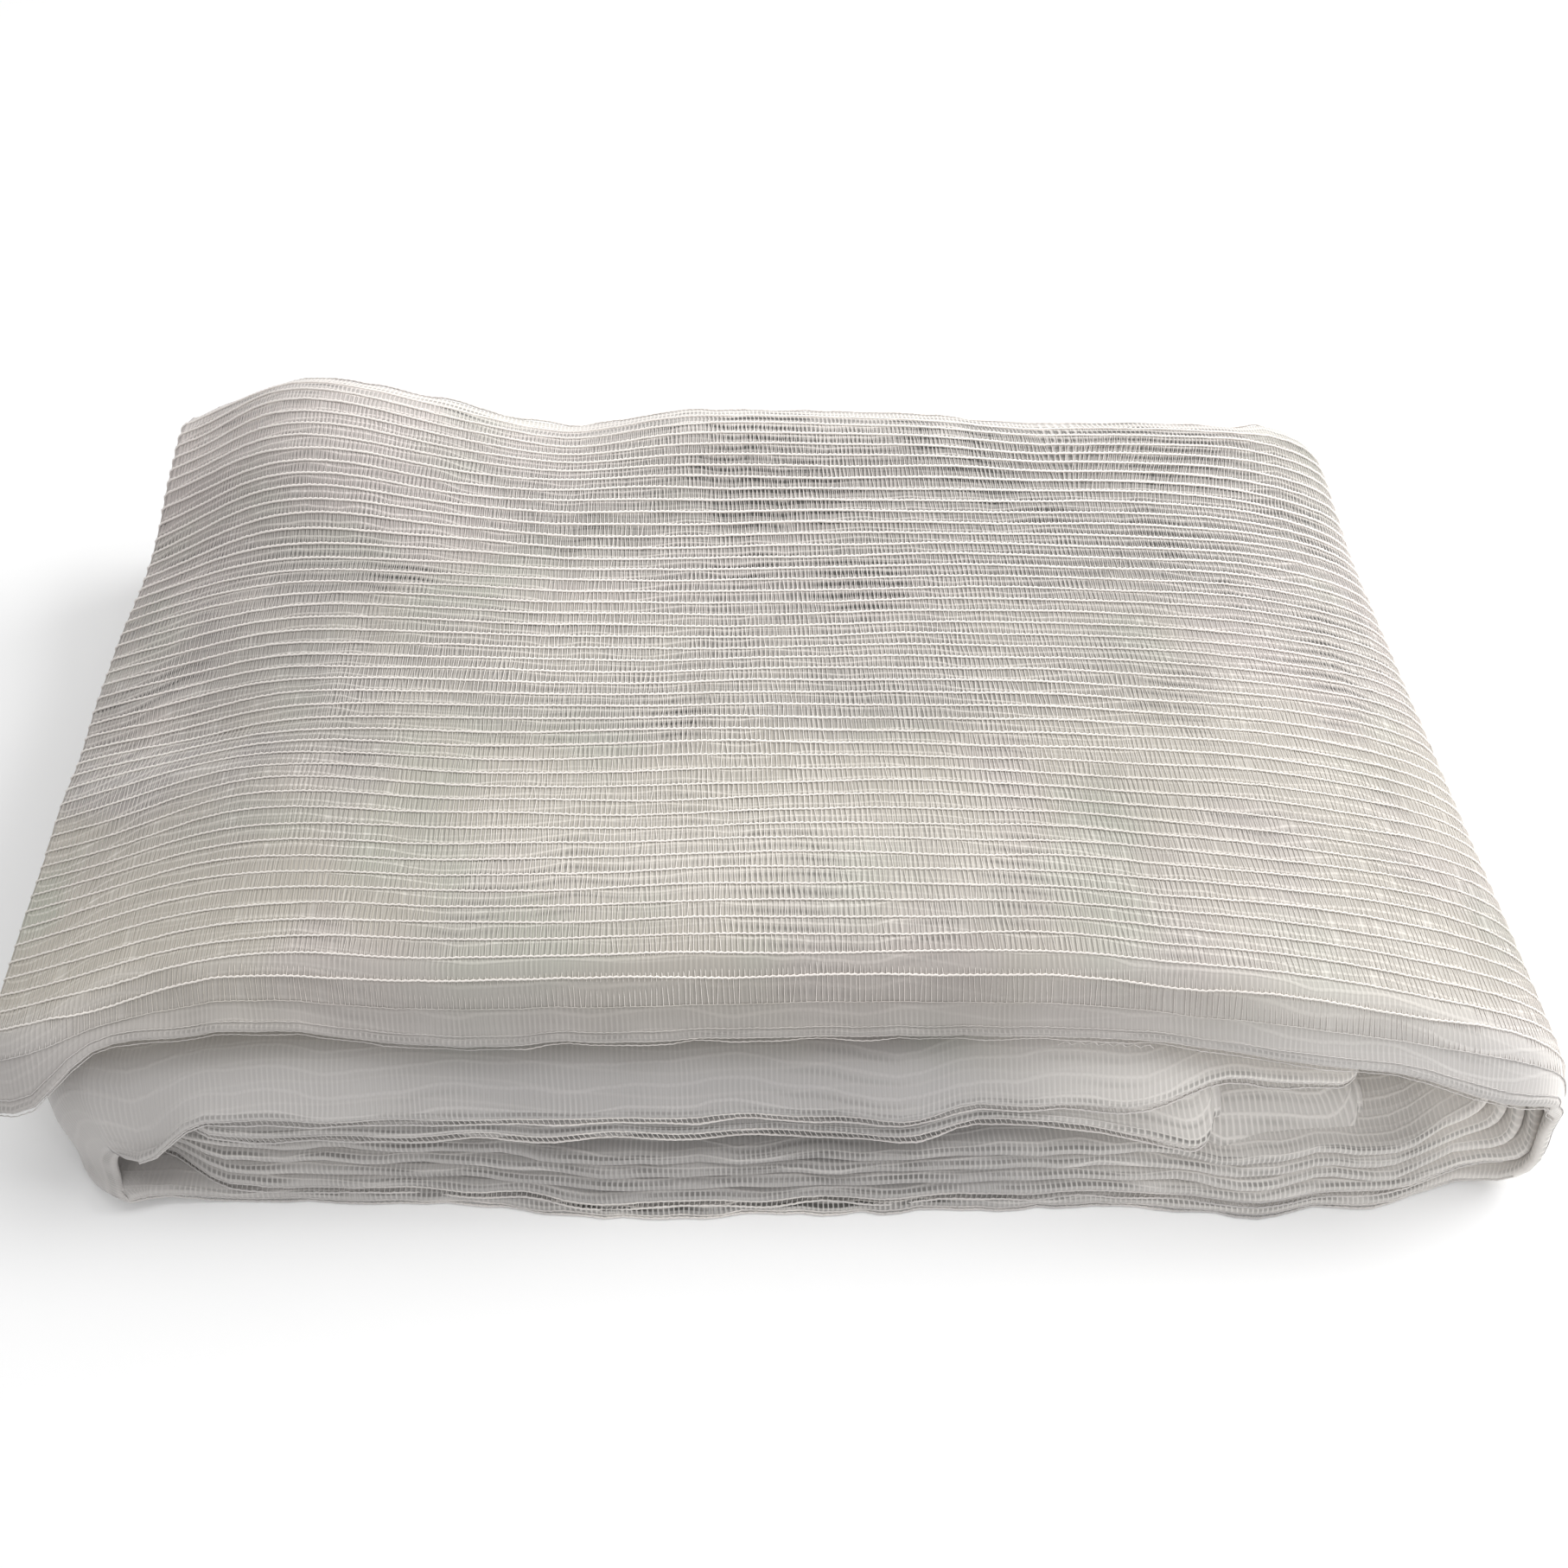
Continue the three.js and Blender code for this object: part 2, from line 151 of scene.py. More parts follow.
# At the back the left-hand end is held up and the right-hand shoulder is squarer.
BACK_LEFT = {"from": 100, "over": 85, "held_up": 0.62, "in": 11, "span": (-206, -300), "depth": (30, 190)}
BACK_RIGHT = {"from": 120, "over": 70, "power": 0.68}

# The ends of the middle third slant towards the front and hang lower there.
END_SLANT = {"length": 75, "depth": 50, "out": (0, 10, 10, 17, 17), "back": 5, "drop": 3.0}
END_ROUNDING = 12
SHOULDER_ANGLES = (3, 7, 12, 18, 24, 29, 34, 43, 51, 58, 64, 69, 74, 78, 82, 86, 90)
TURN_ANGLES = (84, 77, 69, 60, 50, 39, 27, 14)
LEFT_FOLD_ANGLES = tuple(range(10, 171, 10))
END_TURN_ANGLES = (30, 60, 90, 120, 150)

# Ripples of lips, edges and ribs: first seed, rise, number of waves, shortest and longest wave.
RIPPLES = {
    "crumple along": (11, 0.6, 6, 90, 220), "crumple across": (12, 0.3, 6, 40, 90), "lip": (40, 0.8, 5, 22, 70),
    "top front": (60, 0.4, 5, 22, 70), "front": (60, 0.9, 5, 22, 70), "back": (80, 1.3, 5, 24, 80),
    "rim": (32, 0.3, 4, 16, 44), "slow rib": (21, 0.9, 5, 110, 300), "quick rib": (22, 0.4, 5, 60, 190),
    "edge row": (200, 0.5, 5, 18, 60),
}
CRUMPLE_TURNS = (60, 90)

# The cloth's own map runs a little past its edges, round their rolled noses: from what depth, and how far.
NOSE_DEPTH, NOSE_WRAP = 3, 0.0018

# How plainly the holes and threads show on each ply of a third: inside, and near its edges.
OPENNESS = {"middle": ((0.3, 0.5, 0.5, 0.6, 0.6), (0.5, 0.8, 0.8, 0.8, 0.8)), "bottom": ((0.6,) * 5, (0.8,) * 5)}
ROLLED_OPENNESS, LIP_OPENNESS, LEFT_OPENNESS = (0.25, 0.45), 0.35, 0.3
END_OPENNESS, BACK_BAND_OPENNESS = 0.8, 0.5
OPEN_BOTTOM = {"from": (-120, -80), "to": (40, 80), "more": 0.9}

# How far from an edge a tone or the edge's roll starts to change, and over what distance it does.
FADES = {
    "edge": (3, 6), "lip": (18, 16), "left": (36, 30), "back": (6, 6), "rim": (14, 30), "grey": (16, 16),
    "white": (6, 7), "roll": (2, 18.0),
}
LEFT_FLAT = (LEFT_STRAIGHT, LEFT_STRAIGHT + 40)

# Painted shade and painted light on the layers: greyer along the lips, which face away from the light, and whiter
# in the pocket, on the folds and at the back, where more light falls.
GREY_LIP = {"top": -0.5, "middle": -0.05, "bottom": -0.15}
WHITE = {"middle": 0.7, "bottom": 0.4, "top": 0.25, "fold": 0.68, "end": 0.3, "back": 0.5, "under the lip": 0.6}
WHITE_SPANS = {"pocket": (40, 180), "left": (20, 160), "lip": (60, 260), "rim": (286, 314)}

# Ribs and threads: how the ribs average the edges, how near an edge they follow it and how they stray, which of
# them go round the left-hand fold, how thick each group is, and how unevenly the threads are placed.
STRAIGHTENING = (1, 2, 3, 4, 5, 5, 5, 5, 5, 5, 5, 4, 3, 2, 1)
RIBS_FOLLOW_EDGE, RIB_PITCH, CALM_RIBS, SLOW_TURN, QUICK_TURN = 0.05, 7.2, 2.5, 0.55, 1.9
RIBS_UNDER_LEFT, LEFT_RIBS_FROM = -252, 6
RIB_GROUPS = (("ribs_front", 0.95), ("ribs_middle", 1.15), ("ribs_back", 1.35))
LIP_SIZE = 0.5
THREAD_STRAY, THREADS_MISSING, THREAD_SEED = 0.00025, 0.04, 5

# How yarns are knitted, in metres, and how far their middle stays over the floor, in radii.
RIB_YARN = {"Stitch": 0.0013, "Sides": 4, "Bead": 0.16, "Zigzag": 0.00018, "Unevenness": 0.0006, "Seed": 3.0}
LEFT_YARN = {**RIB_YARN, "Stitch": 0.0016}
LIP_YARN = {**LEFT_YARN, "Zigzag": 0.0001, "Unevenness": 0.0005}
EDGE_YARN = {**LEFT_YARN, "Bead": 0.15, "Zigzag": 0.00012, "Seed": 7.0}
THREAD = {"Stitch": 0.02, "Sides": 3, "Bead": 0.0, "Zigzag": 0.0, "Unevenness": 0.0, "Seed": 4.0}
FLOOR_CLEARANCE = 1.8

# A short loose yarn under the front edge of the topmost ply.
LOOSE_YARN = {"from": 108, "to": 147, "step": 2.6, "depth": 4.0, "shallow": 0.2, "forward": 0.9, "down": 1.0}

# Open rows of net along the edges: third, ply, side, how far they stand out and hang down.
EDGE_ROWS = (
    ("bottom", 0, "front", 0.9, 0.8), ("bottom", 1, "front", 1.6, 2.2), ("middle", 0, "front", 1.2, 2.4),
    ("middle", 1, "front", 1.4, 2.4), ("middle", 3, "front", 1.4, 2.0), ("top", 0, "front", 0.6, 1.6),
    ("top", 0, "back", 4.0, 1.8), ("top", 1, "back", 2.4, 1.6), ("middle", 0, "back", 2.2, 1.6),
    ("bottom", 0, "back", 3.4, 0.6),
)
EDGE_ROW_TOP, EDGE_ROW_TAPER, EDGE_ROW_LOWEST, LONGEST_EDGE_THREAD = 12, 6, 0.5, 0.01

# Places on the pack where the net looks thinner and is painted greyer, as painted shade of the layers below and of
# a dent at the left, or painted whiter, as painted light: middle, reach and depth.
SHADED_THIN_PLACES = (
    ((0.06, 0.13), (0.27, 0.09), 0.85), ((-0.25, 0.03), (0.12, 0.15), 0.8), ((-0.275, -0.03), (0.08, 0.03), 0.8),
    ((0.18, 0.12), (0.15, 0.09), 0.95), ((0.0, 0.02), (0.24, 0.06), 0.7),
)
LIT_FULL_PLACES = (
    ((0.26, -0.03), (0.12, 0.2), 0.14), ((0.02, -0.09), (0.2, 0.035), 0.14), ((0.2, -0.15), (0.14, 0.06), 0.27),
    ((-0.22, -0.175), (0.13, 0.06), 0.14), ((-0.24, 0.19), (0.1, 0.07), 0.2), ((0.0, 0.2), (0.3, 0.045), 0.42),
)

# Lights: name, place and width. Then the camera's place, and the reach of the floor.
LIGHTS = (("key", (1.7, 0.9, 1.3), 1.3), ("overhead", (0.1, 0.8, 1.9), 1.6), ("fill", (1.4, -1.6, 1.0), 1.4))
CAMERA_PLACE, SENSOR_WIDTH, FLOOR_REACH = (0.0055, -0.3725, 0.546), 36, 6.0


def smooth(value):
    """0 below 0 and 1 above 1, smooth between them."""
    value = np.clip(value, 0, 1)
    return value * value * (3 - 2 * value)


def towards(span, x):
    """0 at the first end of a span and 1 at its second end, smooth between them."""
    return smooth((x - span[0]) / (span[1] - span[0]))


def lerp(a, b, share):
    """The value that lies this share of the way from a to b."""
    return a + (b - a) * share


def fall(x, path):
    """How far a ply falls away towards its end."""
    start, end, drop, power = path
    return drop * np.clip((x - start) / (end - start), 0, 1) ** power


@lru_cache(maxsize=None)
def edge_at(table, column, x):
    """One column of a table of edges, with its kinks rounded off."""
    return sum(table_at(table, column, x + step) for step in EDGE_SMOOTHING) / len(EDGE_SMOOTHING)


def table_at(table, column, x):
    """One column of a table of places, smoothly between its rows."""
    places = [row[0] for row in table]
    if x <= places[0]:
        return float(table[0][column])
    if x >= places[-1]:
        return float(table[-1][column])
    above = next(i for i, place in enumerate(places) if place > x)
    share = smooth((x - places[above - 1]) / (places[above] - places[above - 1]))
    return float(lerp(table[above - 1][column], table[above][column], share))


@lru_cache(maxsize=None)
def ripple(seed, waves, shortest, longest):
    """Sine waves of a smooth random line: wave lengths in millimetres, phases and a turn of phase per line."""
    draw = np.random.default_rng(seed)
    lengths = draw.uniform(shortest, longest, waves)
    return lengths, draw.uniform(0, 2 * math.pi, waves), draw.uniform(-1.6, 1.6, waves)


def rippled(kind, x, line=0.0, seed=0):
    """A smooth random value at x that changes little from one line to the next."""
    first_seed, rise, waves, shortest, longest = RIPPLES[kind]
    lengths, phases, turns = ripple(first_seed + seed, waves, shortest, longest)
    total = 0.0
    for length, phase, turn in zip(lengths, phases, turns):
        total = total + np.sin(2 * math.pi * x / length + phase + turn * line)
    return rise * (total / math.sqrt(2 * waves))


def crease_at(x, y):
    """Rise of all the creases at a point."""
    total = 0.0
    for middle_x, middle_y, degrees, half_length, half_width, rise in CREASES:
        turn = math.radians(degrees)
        along = (x - middle_x) * math.cos(turn) + (y - middle_y) * math.sin(turn)
        across = (y - middle_y) * math.cos(turn) - (x - middle_x) * math.sin(turn)
        total = total + rise * np.exp(-((along / half_length) ** 2) - (across / half_width) ** 2)
    return total


def crown_at(x, y):
    """Height of the middle of the topmost ply before its sides fall away."""
    total = CROWN_HEIGHT - SHEET_THICKNESS / 2
    for middle_x, middle_y, rise, wide, deep in HUMPS:
        total = total + rise * np.exp(-(((x - middle_x) / wide) ** 2) - ((y - middle_y) / deep) ** 2)
    turn_along, turn_across = y / CRUMPLE_TURNS[0], x / CRUMPLE_TURNS[1]
    crumple = rippled("crumple along", x, turn_along) + rippled("crumple across", y, turn_across)
    return total + crease_at(x, y) + crumple


def third_of(place):
    """The third of the pack that a place in the stack belongs to."""
    if place > TOP_OF_MIDDLE_THIRD:
        return "top"
    return "middle" if place > TOP_OF_BOTTOM_THIRD else "bottom"


def droop_at(place, edge_x, y):
    """How far a ply bends down at its front and back edges, with a small flutter of its lip."""
    third = third_of(place)
    column = 1 if third == "top" else 2
    reach = DROOP_REACH[third]
    forward = smooth((edge_at(FRONT_EDGES, column, edge_x) + reach - y) / reach)
    behind = smooth((y - edge_at(BACK_EDGES, 1, edge_x) + BACK_DROOP_REACH) / BACK_DROOP_REACH)
    share = max(0, (place - TOP_OF_MIDDLE_THIRD) / PLIES)
    if third == "top":
        drop = table_at(TOP_LIP, 1, edge_x) * lerp(share, 1, towards(LEFT_CORNER, edge_x))
    else:
        drop = LOWER_LIPS[place] * lerp(1, FADE_SHARE, towards(LEFT_FADE, edge_x))
        if place == TOP_OF_MIDDLE_THIRD:
            bared = towards(TOP_OF_MIDDLE["span"], edge_x)
            drop += lerp(TOP_OF_MIDDLE["cover_drop"], -TOP_OF_MIDDLE["rise"], bared)
        elif place in (TOP_OF_BOTTOM_THIRD + 1, TOP_OF_BOTTOM_THIRD + 2):
            drop += towards(RIGHT_STEP_BACK["span"], edge_x) * RIGHT_STEP_BACK["low_drop"]
    flutter = 0.0 if place == 0 else rippled("lip", edge_x, seed=place)
    return (drop + flutter) * forward + BACK_DROOP * share * behind


def level_at(place, x, y):
    """Height of the middle of a ply from its place in the stack, before it droops."""
    half = SHEET_THICKNESS / 2
    crown = crown_at(x, y)

    def even(n):
        return half + n * (crown - half) / TOP_OF_STACK

    if place <= TOP_OF_MIDDLE_THIRD:
        share = max(0, (place - TOP_OF_BOTTOM_THIRD) / PLIES)
        return even(place) - share * (fall(x, MIDDLE_LEFT_FALL) + fall(x, MIDDLE_RIGHT_FALL))
    under = even(TOP_OF_MIDDLE_THIRD) - fall(x, MIDDLE_LEFT_FALL) - OVERHANG_DROP * towards(OVERHANG, x)
    held_up = BACK_LEFT["held_up"] * smooth((y - BACK_LEFT["from"]) / BACK_LEFT["over"])
    over = crown - fall(x, TOP_LEFT_FALL) * (1 - held_up)
    return lerp(under, over, (place - TOP_OF_MIDDLE_THIRD + LOOSER) / (PLIES + LOOSER))


def curl_at(cap, front, y):
    """1 at the front edge, falling to 0 at the depth from which the outermost ply curls in."""
    return (1 - np.clip((y - front) / cap["depth"], 0, 1)) ** 2


def height_at(place, x, y):
    """Height of the middle of a ply; the outermost one is gathered at the front of the left-hand fold."""
    z = level_at(place, x, y) - droop_at(place, x, y)
    if place not in (0, TOP_OF_MIDDLE_THIRD):
        return z
    front = edge_at(FRONT_EDGES, 2 if place > TOP_OF_BOTTOM_THIRD else 3, x)
    gather = LEFT_CAP["gather"] * towards(LEFT_CAP["span"], x) * (LEFT_CAP["bottom"] if place == 0 else 1)
    return lerp(z, LEFT_CAP["height"], gather * curl_at(LEFT_CAP, front, y))


def place_of(third, ply):
    """Place of a ply in the stack, counted from the floor."""
    return {"top": TOP_OF_STACK - ply, "middle": TOP_OF_MIDDLE_THIRD - ply, "bottom": ply}[third]


def front_of(third, ply, x):
    """Front edge of a ply at x."""
    corner = lerp(1, CORNER_SET_BACK, towards(LEFT_CORNER, x)) if third == "top" else 1
    wave = rippled("top front" if third == "top" else "front", x, seed=place_of(third, ply))
    end = MIDDLE_THIRD_ENDS[ply] - x
    rounding = 0.0
    if third == "middle" and end < END_ROUNDING:
        rounding = END_ROUNDING - math.sqrt(max(0.0, END_ROUNDING**2 - (END_ROUNDING - max(0.0, end)) ** 2))
    edge = edge_at(FRONT_EDGES, 1 + THIRDS.index(third), x) + SET_BACK[third][0][ply] * corner
    if third == "middle" and ply == 0:
        edge = lerp(edge + TOP_OF_MIDDLE["cover"], TOP_OF_MIDDLE["front"], towards(TOP_OF_MIDDLE["span"], x))
    elif third == "middle" and ply > 2:
        edge += towards(RIGHT_STEP_BACK["span"], x) * RIGHT_STEP_BACK["low"]
    if third != "top":
        shift = LEFT_EDGE_SHIFT[third] if ply == 0 else behind_cap(LEFT_CAP, ply)
        edge += shift * towards(LEFT_CAP["span"], x)
    return edge + wave + rounding


def back_of(third, ply, x):
    """Back edge of a ply at x."""
    wave = rippled("back", x, seed=place_of(third, ply))
    return edge_at(BACK_EDGES, 1 + THIRDS.index(third), x) - SET_BACK[third][1][ply] + wave


class Station:
    """One point of the folded section: its front and back edge, and a place for every depth."""

    def __init__(self, part, ply, front, back, at):
        self.part, self.ply, self.front, self.back, self.at = part, ply, front, back, at


def behind_cap(cap, ply):
    """How far an inner ply stands back behind the curled front of the outermost one."""
    return 0.0 if ply == 0 else cap["behind"] + cap["step"] * ply


def capped(cap, ply, front, y, along=0.0):
    """Share of its size that a fold keeps near its front edge, where the outermost ply curls in unevenly."""
    if ply > 0:
        return np.ones_like(y)
    share = cap["share"] * (1 + rippled("rim", along))
    return 1 - share * curl_at(cap, front, y)


def flat_station(third, ply, x):
    """A station on a flat stretch of a ply, with its end slanted."""
    place = place_of(third, ply)
    front = front_of(third, ply, x)
    near_end = 0.0
    if third == "middle" and ply > 0:
        near_end = float(smooth((x - MIDDLE_THIRD_ENDS[ply] + END_SLANT["length"]) / END_SLANT["length"]))

    def at(y):
        forward = smooth((front + END_SLANT["depth"] - y) / END_SLANT["depth"])
        slant = near_end * (END_SLANT["out"][ply] * forward - END_SLANT["back"])
        if third == "top":
            slant = BACK_LEFT["in"] * towards(BACK_LEFT["span"], x) * towards(BACK_LEFT["depth"], y)
        return x + slant, height_at(place, x, y) - near_end * forward * END_SLANT["drop"]

    return Station(third, ply, front, back_of(third, ply, x), at)


def right_fold(ply):
    """The turn and the shoulder of the right-hand fold, from the bottom third up to the top third."""
    tip = RIGHT_END - SHEET_THICKNESS / 2 - ply * RIGHT_STEP
    stations = []
    for angle in reversed(TURN_ANGLES):
        reach = math.sin(math.radians(angle)) ** TURN_POWER
        rise = math.cos(math.radians(angle)) ** TURN_POWER
        x = TURN_FROM + (tip - TURN_FROM) * reach
        share = (angle / 90) ** RIGHT_CAP["blend"]
        front = lerp(front_of("bottom", ply, x), front_of("top", ply, RIGHT_END), share)
        front += behind_cap(RIGHT_CAP, ply) * reach

        def turned(y, x=x, rise=rise, front=front):
            low = height_at(place_of("bottom", ply), TURN_FROM, y)
            cap = capped(RIGHT_CAP, ply, front, y, -FOLD_MIDDLE * rise)
            return TURN_FROM + (x - TURN_FROM) * cap, FOLD_MIDDLE - (FOLD_MIDDLE - low) * rise

        back = lerp(back_of("bottom", ply, x), back_of("top", ply, RIGHT_END), share)
        stations.append(Station("turn", ply, front, back, turned))
    for angle in reversed(SHOULDER_ANGLES):
        sine, cosine = math.sin(math.radians(angle)), max(0.0, math.cos(math.radians(angle)))
        reach = sine**SHOULDER_POWER
        x = SHOULDER_FROM + (tip - SHOULDER_FROM) * reach
        front = front_of("top", ply, x) + behind_cap(RIGHT_CAP, ply) * reach ** RIGHT_CAP["back"]
        past = max(0.0, x - TURN_FROM)

        def shouldered(y, x=x, sine=sine, cosine=cosine, front=front, past=past):
            place = place_of("top", ply)
            squarer = smooth((y - BACK_RIGHT["from"]) / BACK_RIGHT["over"])
            power = lerp(SHOULDER_POWER, BACK_RIGHT["power"], squarer)
            rise = cosine**power
            high = level_at(place, SHOULDER_FROM, y) - droop_at(place, x, y)
            ruffle = crease_at(x, y) - crease_at(SHOULDER_FROM, y)
            inward = past * (1 - capped(RIGHT_CAP, ply, front, y, RIGHT_CAP["rise"] * cosine**SHOULDER_POWER))
            across = SHOULDER_FROM + (tip - SHOULDER_FROM) * sine**power
            return across - inward, FOLD_MIDDLE + (high + ruffle - FOLD_MIDDLE) * rise

        stations.append(Station("shoulder", ply, front, back_of("top", ply, x), shouldered))
    return stations


def left_fold(ply):
    """The left-hand fold, from the middle third down to the bottom third."""
    end = LEFT_TIP + ply * LEFT_STEP
    stations = []
    for angle in reversed(LEFT_FOLD_ANGLES):
        turn = math.radians(angle)
        edge_x = end + LEFT_REACH * (1 - ply / PLIES) * (1 - math.sin(turn))
        share = smooth(angle / 180)
        front = lerp(front_of("bottom", ply, edge_x), front_of("middle", ply, edge_x), share)

        def at(y, turn=turn, front=front):
            low = height_at(place_of("bottom", ply), LEFT_STRAIGHT, y)
            high = height_at(place_of("middle", ply), LEFT_STRAIGHT, y)
            half = (high - low) / 2
            reach = np.maximum(LEFT_LEAST_REACH, half * LEFT_SLENDERNESS)
            inward = LEFT_CAP["in"] * curl_at(LEFT_CAP, front, y) if ply == 0 else 0.0
            return end + reach * (1 - math.sin(turn)) + inward, (low + high) / 2 - half * math.cos(turn)

        back = lerp(back_of("bottom", ply, edge_x), back_of("middle", ply, edge_x), share)
        stations.append(Station("left", ply, front, back, at))
    return stations


def end_turn(third, ply, x, way):
    """A tight turn that joins the ends of two neighbouring plies."""
    first, second = flat_station(third, ply, x), flat_station(third, ply + 1, x)
    stations = []
    for angle in END_TURN_ANGLES:
        turn = math.radians(angle)
        share = smooth(angle / 180)

        def at(y, turn=turn, share=share):
            (from_x, a), (to_x, b) = first.at(y), second.at(y)
            half = (a - b) / 2
            out = way * np.abs(half) * math.sin(turn)
            return lerp(from_x, to_x, share) + out, (a + b) / 2 + half * math.cos(turn)

        front, back = lerp(first.front, second.front, share), lerp(first.back, second.back, share)
        stations.append(Station("end", ply, front, back, at))
    return stations


def places(start, end):
    """Evenly spaced places from start to end, both included."""
    return np.linspace(start, end, max(2, round(abs(end - start) / PLACE_STEP) + 1))


@lru_cache(maxsize=None)
def ply_run(ply):
    """One ply, from its end in the middle third to its end in the top third."""
    end = MIDDLE_THIRD_ENDS[ply]
    middle = [end - step for step in reversed(END_STEPS)] + list(places(end - EVEN_FROM_END, LEFT_STRAIGHT))
    bottom = places(LEFT_STRAIGHT, TURN_FROM)
    top = places(SHOULDER_FROM, TOP_THIRD_ENDS[ply])
    return (
        [flat_station("middle", ply, x) for x in middle]
        + left_fold(ply)
        + [flat_station("bottom", ply, x) for x in bottom]
        + right_fold(ply)
        + [flat_station("top", ply, x) for x in top]
    )


def folded_section():
    """The whole section: the plies joined end to end, every other one walked backwards."""
    stations = []
    for ply in range(PLIES):
        forwards = ply % 2 == 0
        run = ply_run(ply)
        stations += run if forwards else run[::-1]
        if ply == PLIES - 1:
            continue
        if forwards:
            stations += end_turn("top", ply, TOP_THIRD_ENDS[ply], -1)
        else:
            stations += end_turn("middle", ply, MIDDLE_THIRD_ENDS[ply], 1)
    return stations


def in_frame(x, y, z):
    """Points of the section's frame, leaning a little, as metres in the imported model's frame."""
    shift = LEAN["shift"] + LEAN["narrowing"] * x / LEAN["half_width"]
    leaning = x + shift * (y - LEAN["from"]) / LEAN["over"]
    return np.stack([leaning - FOOTPRINT_MIDDLE[0], y - FOOTPRINT_MIDDLE[1], z], axis=-1) * MM


def surface_of(stations, depths):
    """Points of the middle of the sheet: one row of points for each station, at the depths it is given."""
    rows = []
    for station in stations:
        y = np.asarray(depths(station), float)
        x, z = station.at(y)
        rows.append(in_frame(x, y, z))
    return np.array(rows)


def normals_of(points):
    """Upright directions of a grid of points, square to the sheet."""
    along = np.gradient(points, axis=0)
    across = np.gradient(points, axis=1)
    normal = np.cross(along, across)
    return normal / np.maximum(np.linalg.norm(normal, axis=-1, keepdims=True), 1e-12)


def sheet_depths(station):
    """Depths of the cloth's points at a station: close together at both edges."""
    front = [station.front + step for step in FRONT_ROWS]
    return [*front, *MIDDLE_ROWS, *(station.back - step for step in BACK_ROWS)]


def mesh_object(name, points, faces, edges=()):
    """A new mesh in the scene."""
    mesh = bpy.data.meshes.new(name)
    mesh.from_pydata([tuple(p) for p in points], [tuple(e) for e in edges], [tuple(f) for f in faces])
    mesh.update()
    piece = bpy.data.objects.new(name, mesh)
    bpy.context.scene.collection.objects.link(piece)
    return piece


def roll_of(station):
    """Half thickness of the rolled edge at a station."""
    if station.part in THIRDS:
        return EDGE_ROLLS[place_of(station.part, station.ply)]
    return FOLD_ROLLS["outermost" if station.ply == 0 else station.part]


def x_of(station):
    """Place of a station along the pack, at the middle of its depth."""
    return float(station.at(np.zeros(1))[0][0])


def faded(kind, distance):
    """0 near an edge and 1 further in, smooth between them."""
    start, over = FADES[kind]
    return smooth((distance - start) / over)


def openness_of(station, from_front, from_back):
    """How plainly the holes and ribs of the net show: most on top and at the edges, least where it is rolled."""
    part, ply, x = station.part, station.ply, x_of(station)
    if ply == 0 and part == "left":
        return lerp(LEFT_OPENNESS, 1.0, faded("left", from_front))
    if ply == 0 and part not in OPENNESS:
        back_band = lerp(1, BACK_BAND_OPENNESS, 1 - faded("back", from_back)) if part != "turn" else 1
        return lerp(LIP_OPENNESS, 1.0, faded("lip", from_front)) * back_band
    if part == "end" and x < 0:
        return lerp(LIP_OPENNESS, END_OPENNESS, faded("lip", from_front))
    edge = 1 - faded("edge", np.minimum(from_front, from_back))
    rolled = lerp(*ROLLED_OPENNESS, edge)
    if part not in OPENNESS:
        return rolled
    inner, outer = (shares[ply] for shares in OPENNESS[part])
    if (part, ply) == ("bottom", 0):
        outer += OPEN_BOTTOM["more"] * towards(OPEN_BOTTOM["from"], x) * (1 - towards(OPEN_BOTTOM["to"], x))
    return lerp(rolled, lerp(inner, outer, edge), towards(LEFT_FLAT, x))


def painted_light_and_shade_of(station, from_front, from_back):
    """How much painted light (above 0, whiter) or painted shade (below 0, greyer) the layers get: white in the
    pocket, on the folds and at the back, grey along the lips.
    """
    part, ply, x = station.part, station.ply, x_of(station)
    near_front = 1 - faded("rim", from_front) if ply == 0 else np.ones_like(from_front)
    if part in ("top", "shoulder") and ply == 0:
        lip = GREY_LIP["top"] * (1 - faded("grey", from_front)) * (1 - towards(WHITE_SPANS["lip"], x))
        rim = WHITE["fold"] * near_front * towards(WHITE_SPANS["rim"], x)
        return lip + rim + WHITE["back"] * (1 - faded("white", from_back))
    if part in ("turn", "shoulder"):
        return WHITE["fold"] * near_front
    if part in ("left", "end"):
        white = ply > 0 if part == "left" else x > 0
        return np.full_like(from_front, WHITE["end"] if white else 0.0)
    grey = GREY_LIP[part] * (1 - towards(WHITE_SPANS["left"], x))
    white = WHITE[part] * (WHITE["under the lip"] if part == "middle" and ply > 2 else 1)
    return np.full_like(from_front, grey + white * towards(WHITE_SPANS["pocket"], x))


def sheet_faces(stations, thickness):
    """Depths and middle of the sheet at these stations, its inner and outer face and their directions."""
    depths = np.array([sheet_depths(station) for station in stations])
    middle = surface_of(stations, sheet_depths)
    normal = normals_of(middle)
    from_edge = np.minimum(depths - depths[:, :1], depths[:, -1:] - depths)
    roll = np.array([[roll_of(station)] for station in stations])
    half = lerp(roll, thickness / MM / 2, faded("roll", from_edge))
    rounded = np.sqrt(1 - (1 - np.minimum(from_edge / (NOSE_LENGTH * roll), 1)) ** 2)
    half = (half * rounded + LEAST_HALF) * MM
    inner, outer = middle + normal * half[..., None], middle - normal * half[..., None]
    for face in (inner, outer):
        face[..., 2] = np.maximum(face[..., 2], 0)
    return depths, middle, inner, outer, normal


def distances(line):
    """Distance of each point of a line from its start, along the line."""
    steps = np.linalg.norm(np.diff(line, axis=0), axis=-1)
    return np.concatenate([[0], np.cumsum(steps)])


def points_at(at, along, line):
    """Points of a line at these places along it."""
    return np.stack([np.interp(at, along, line[:, k]) for k in range(3)], -1)


def quads(corners, flip=False):
    """Faces between four grids of point numbers."""
    faces = np.stack(corners, -1).reshape(-1, 4)
    return (faces[:, ::-1] if flip else faces).tolist()


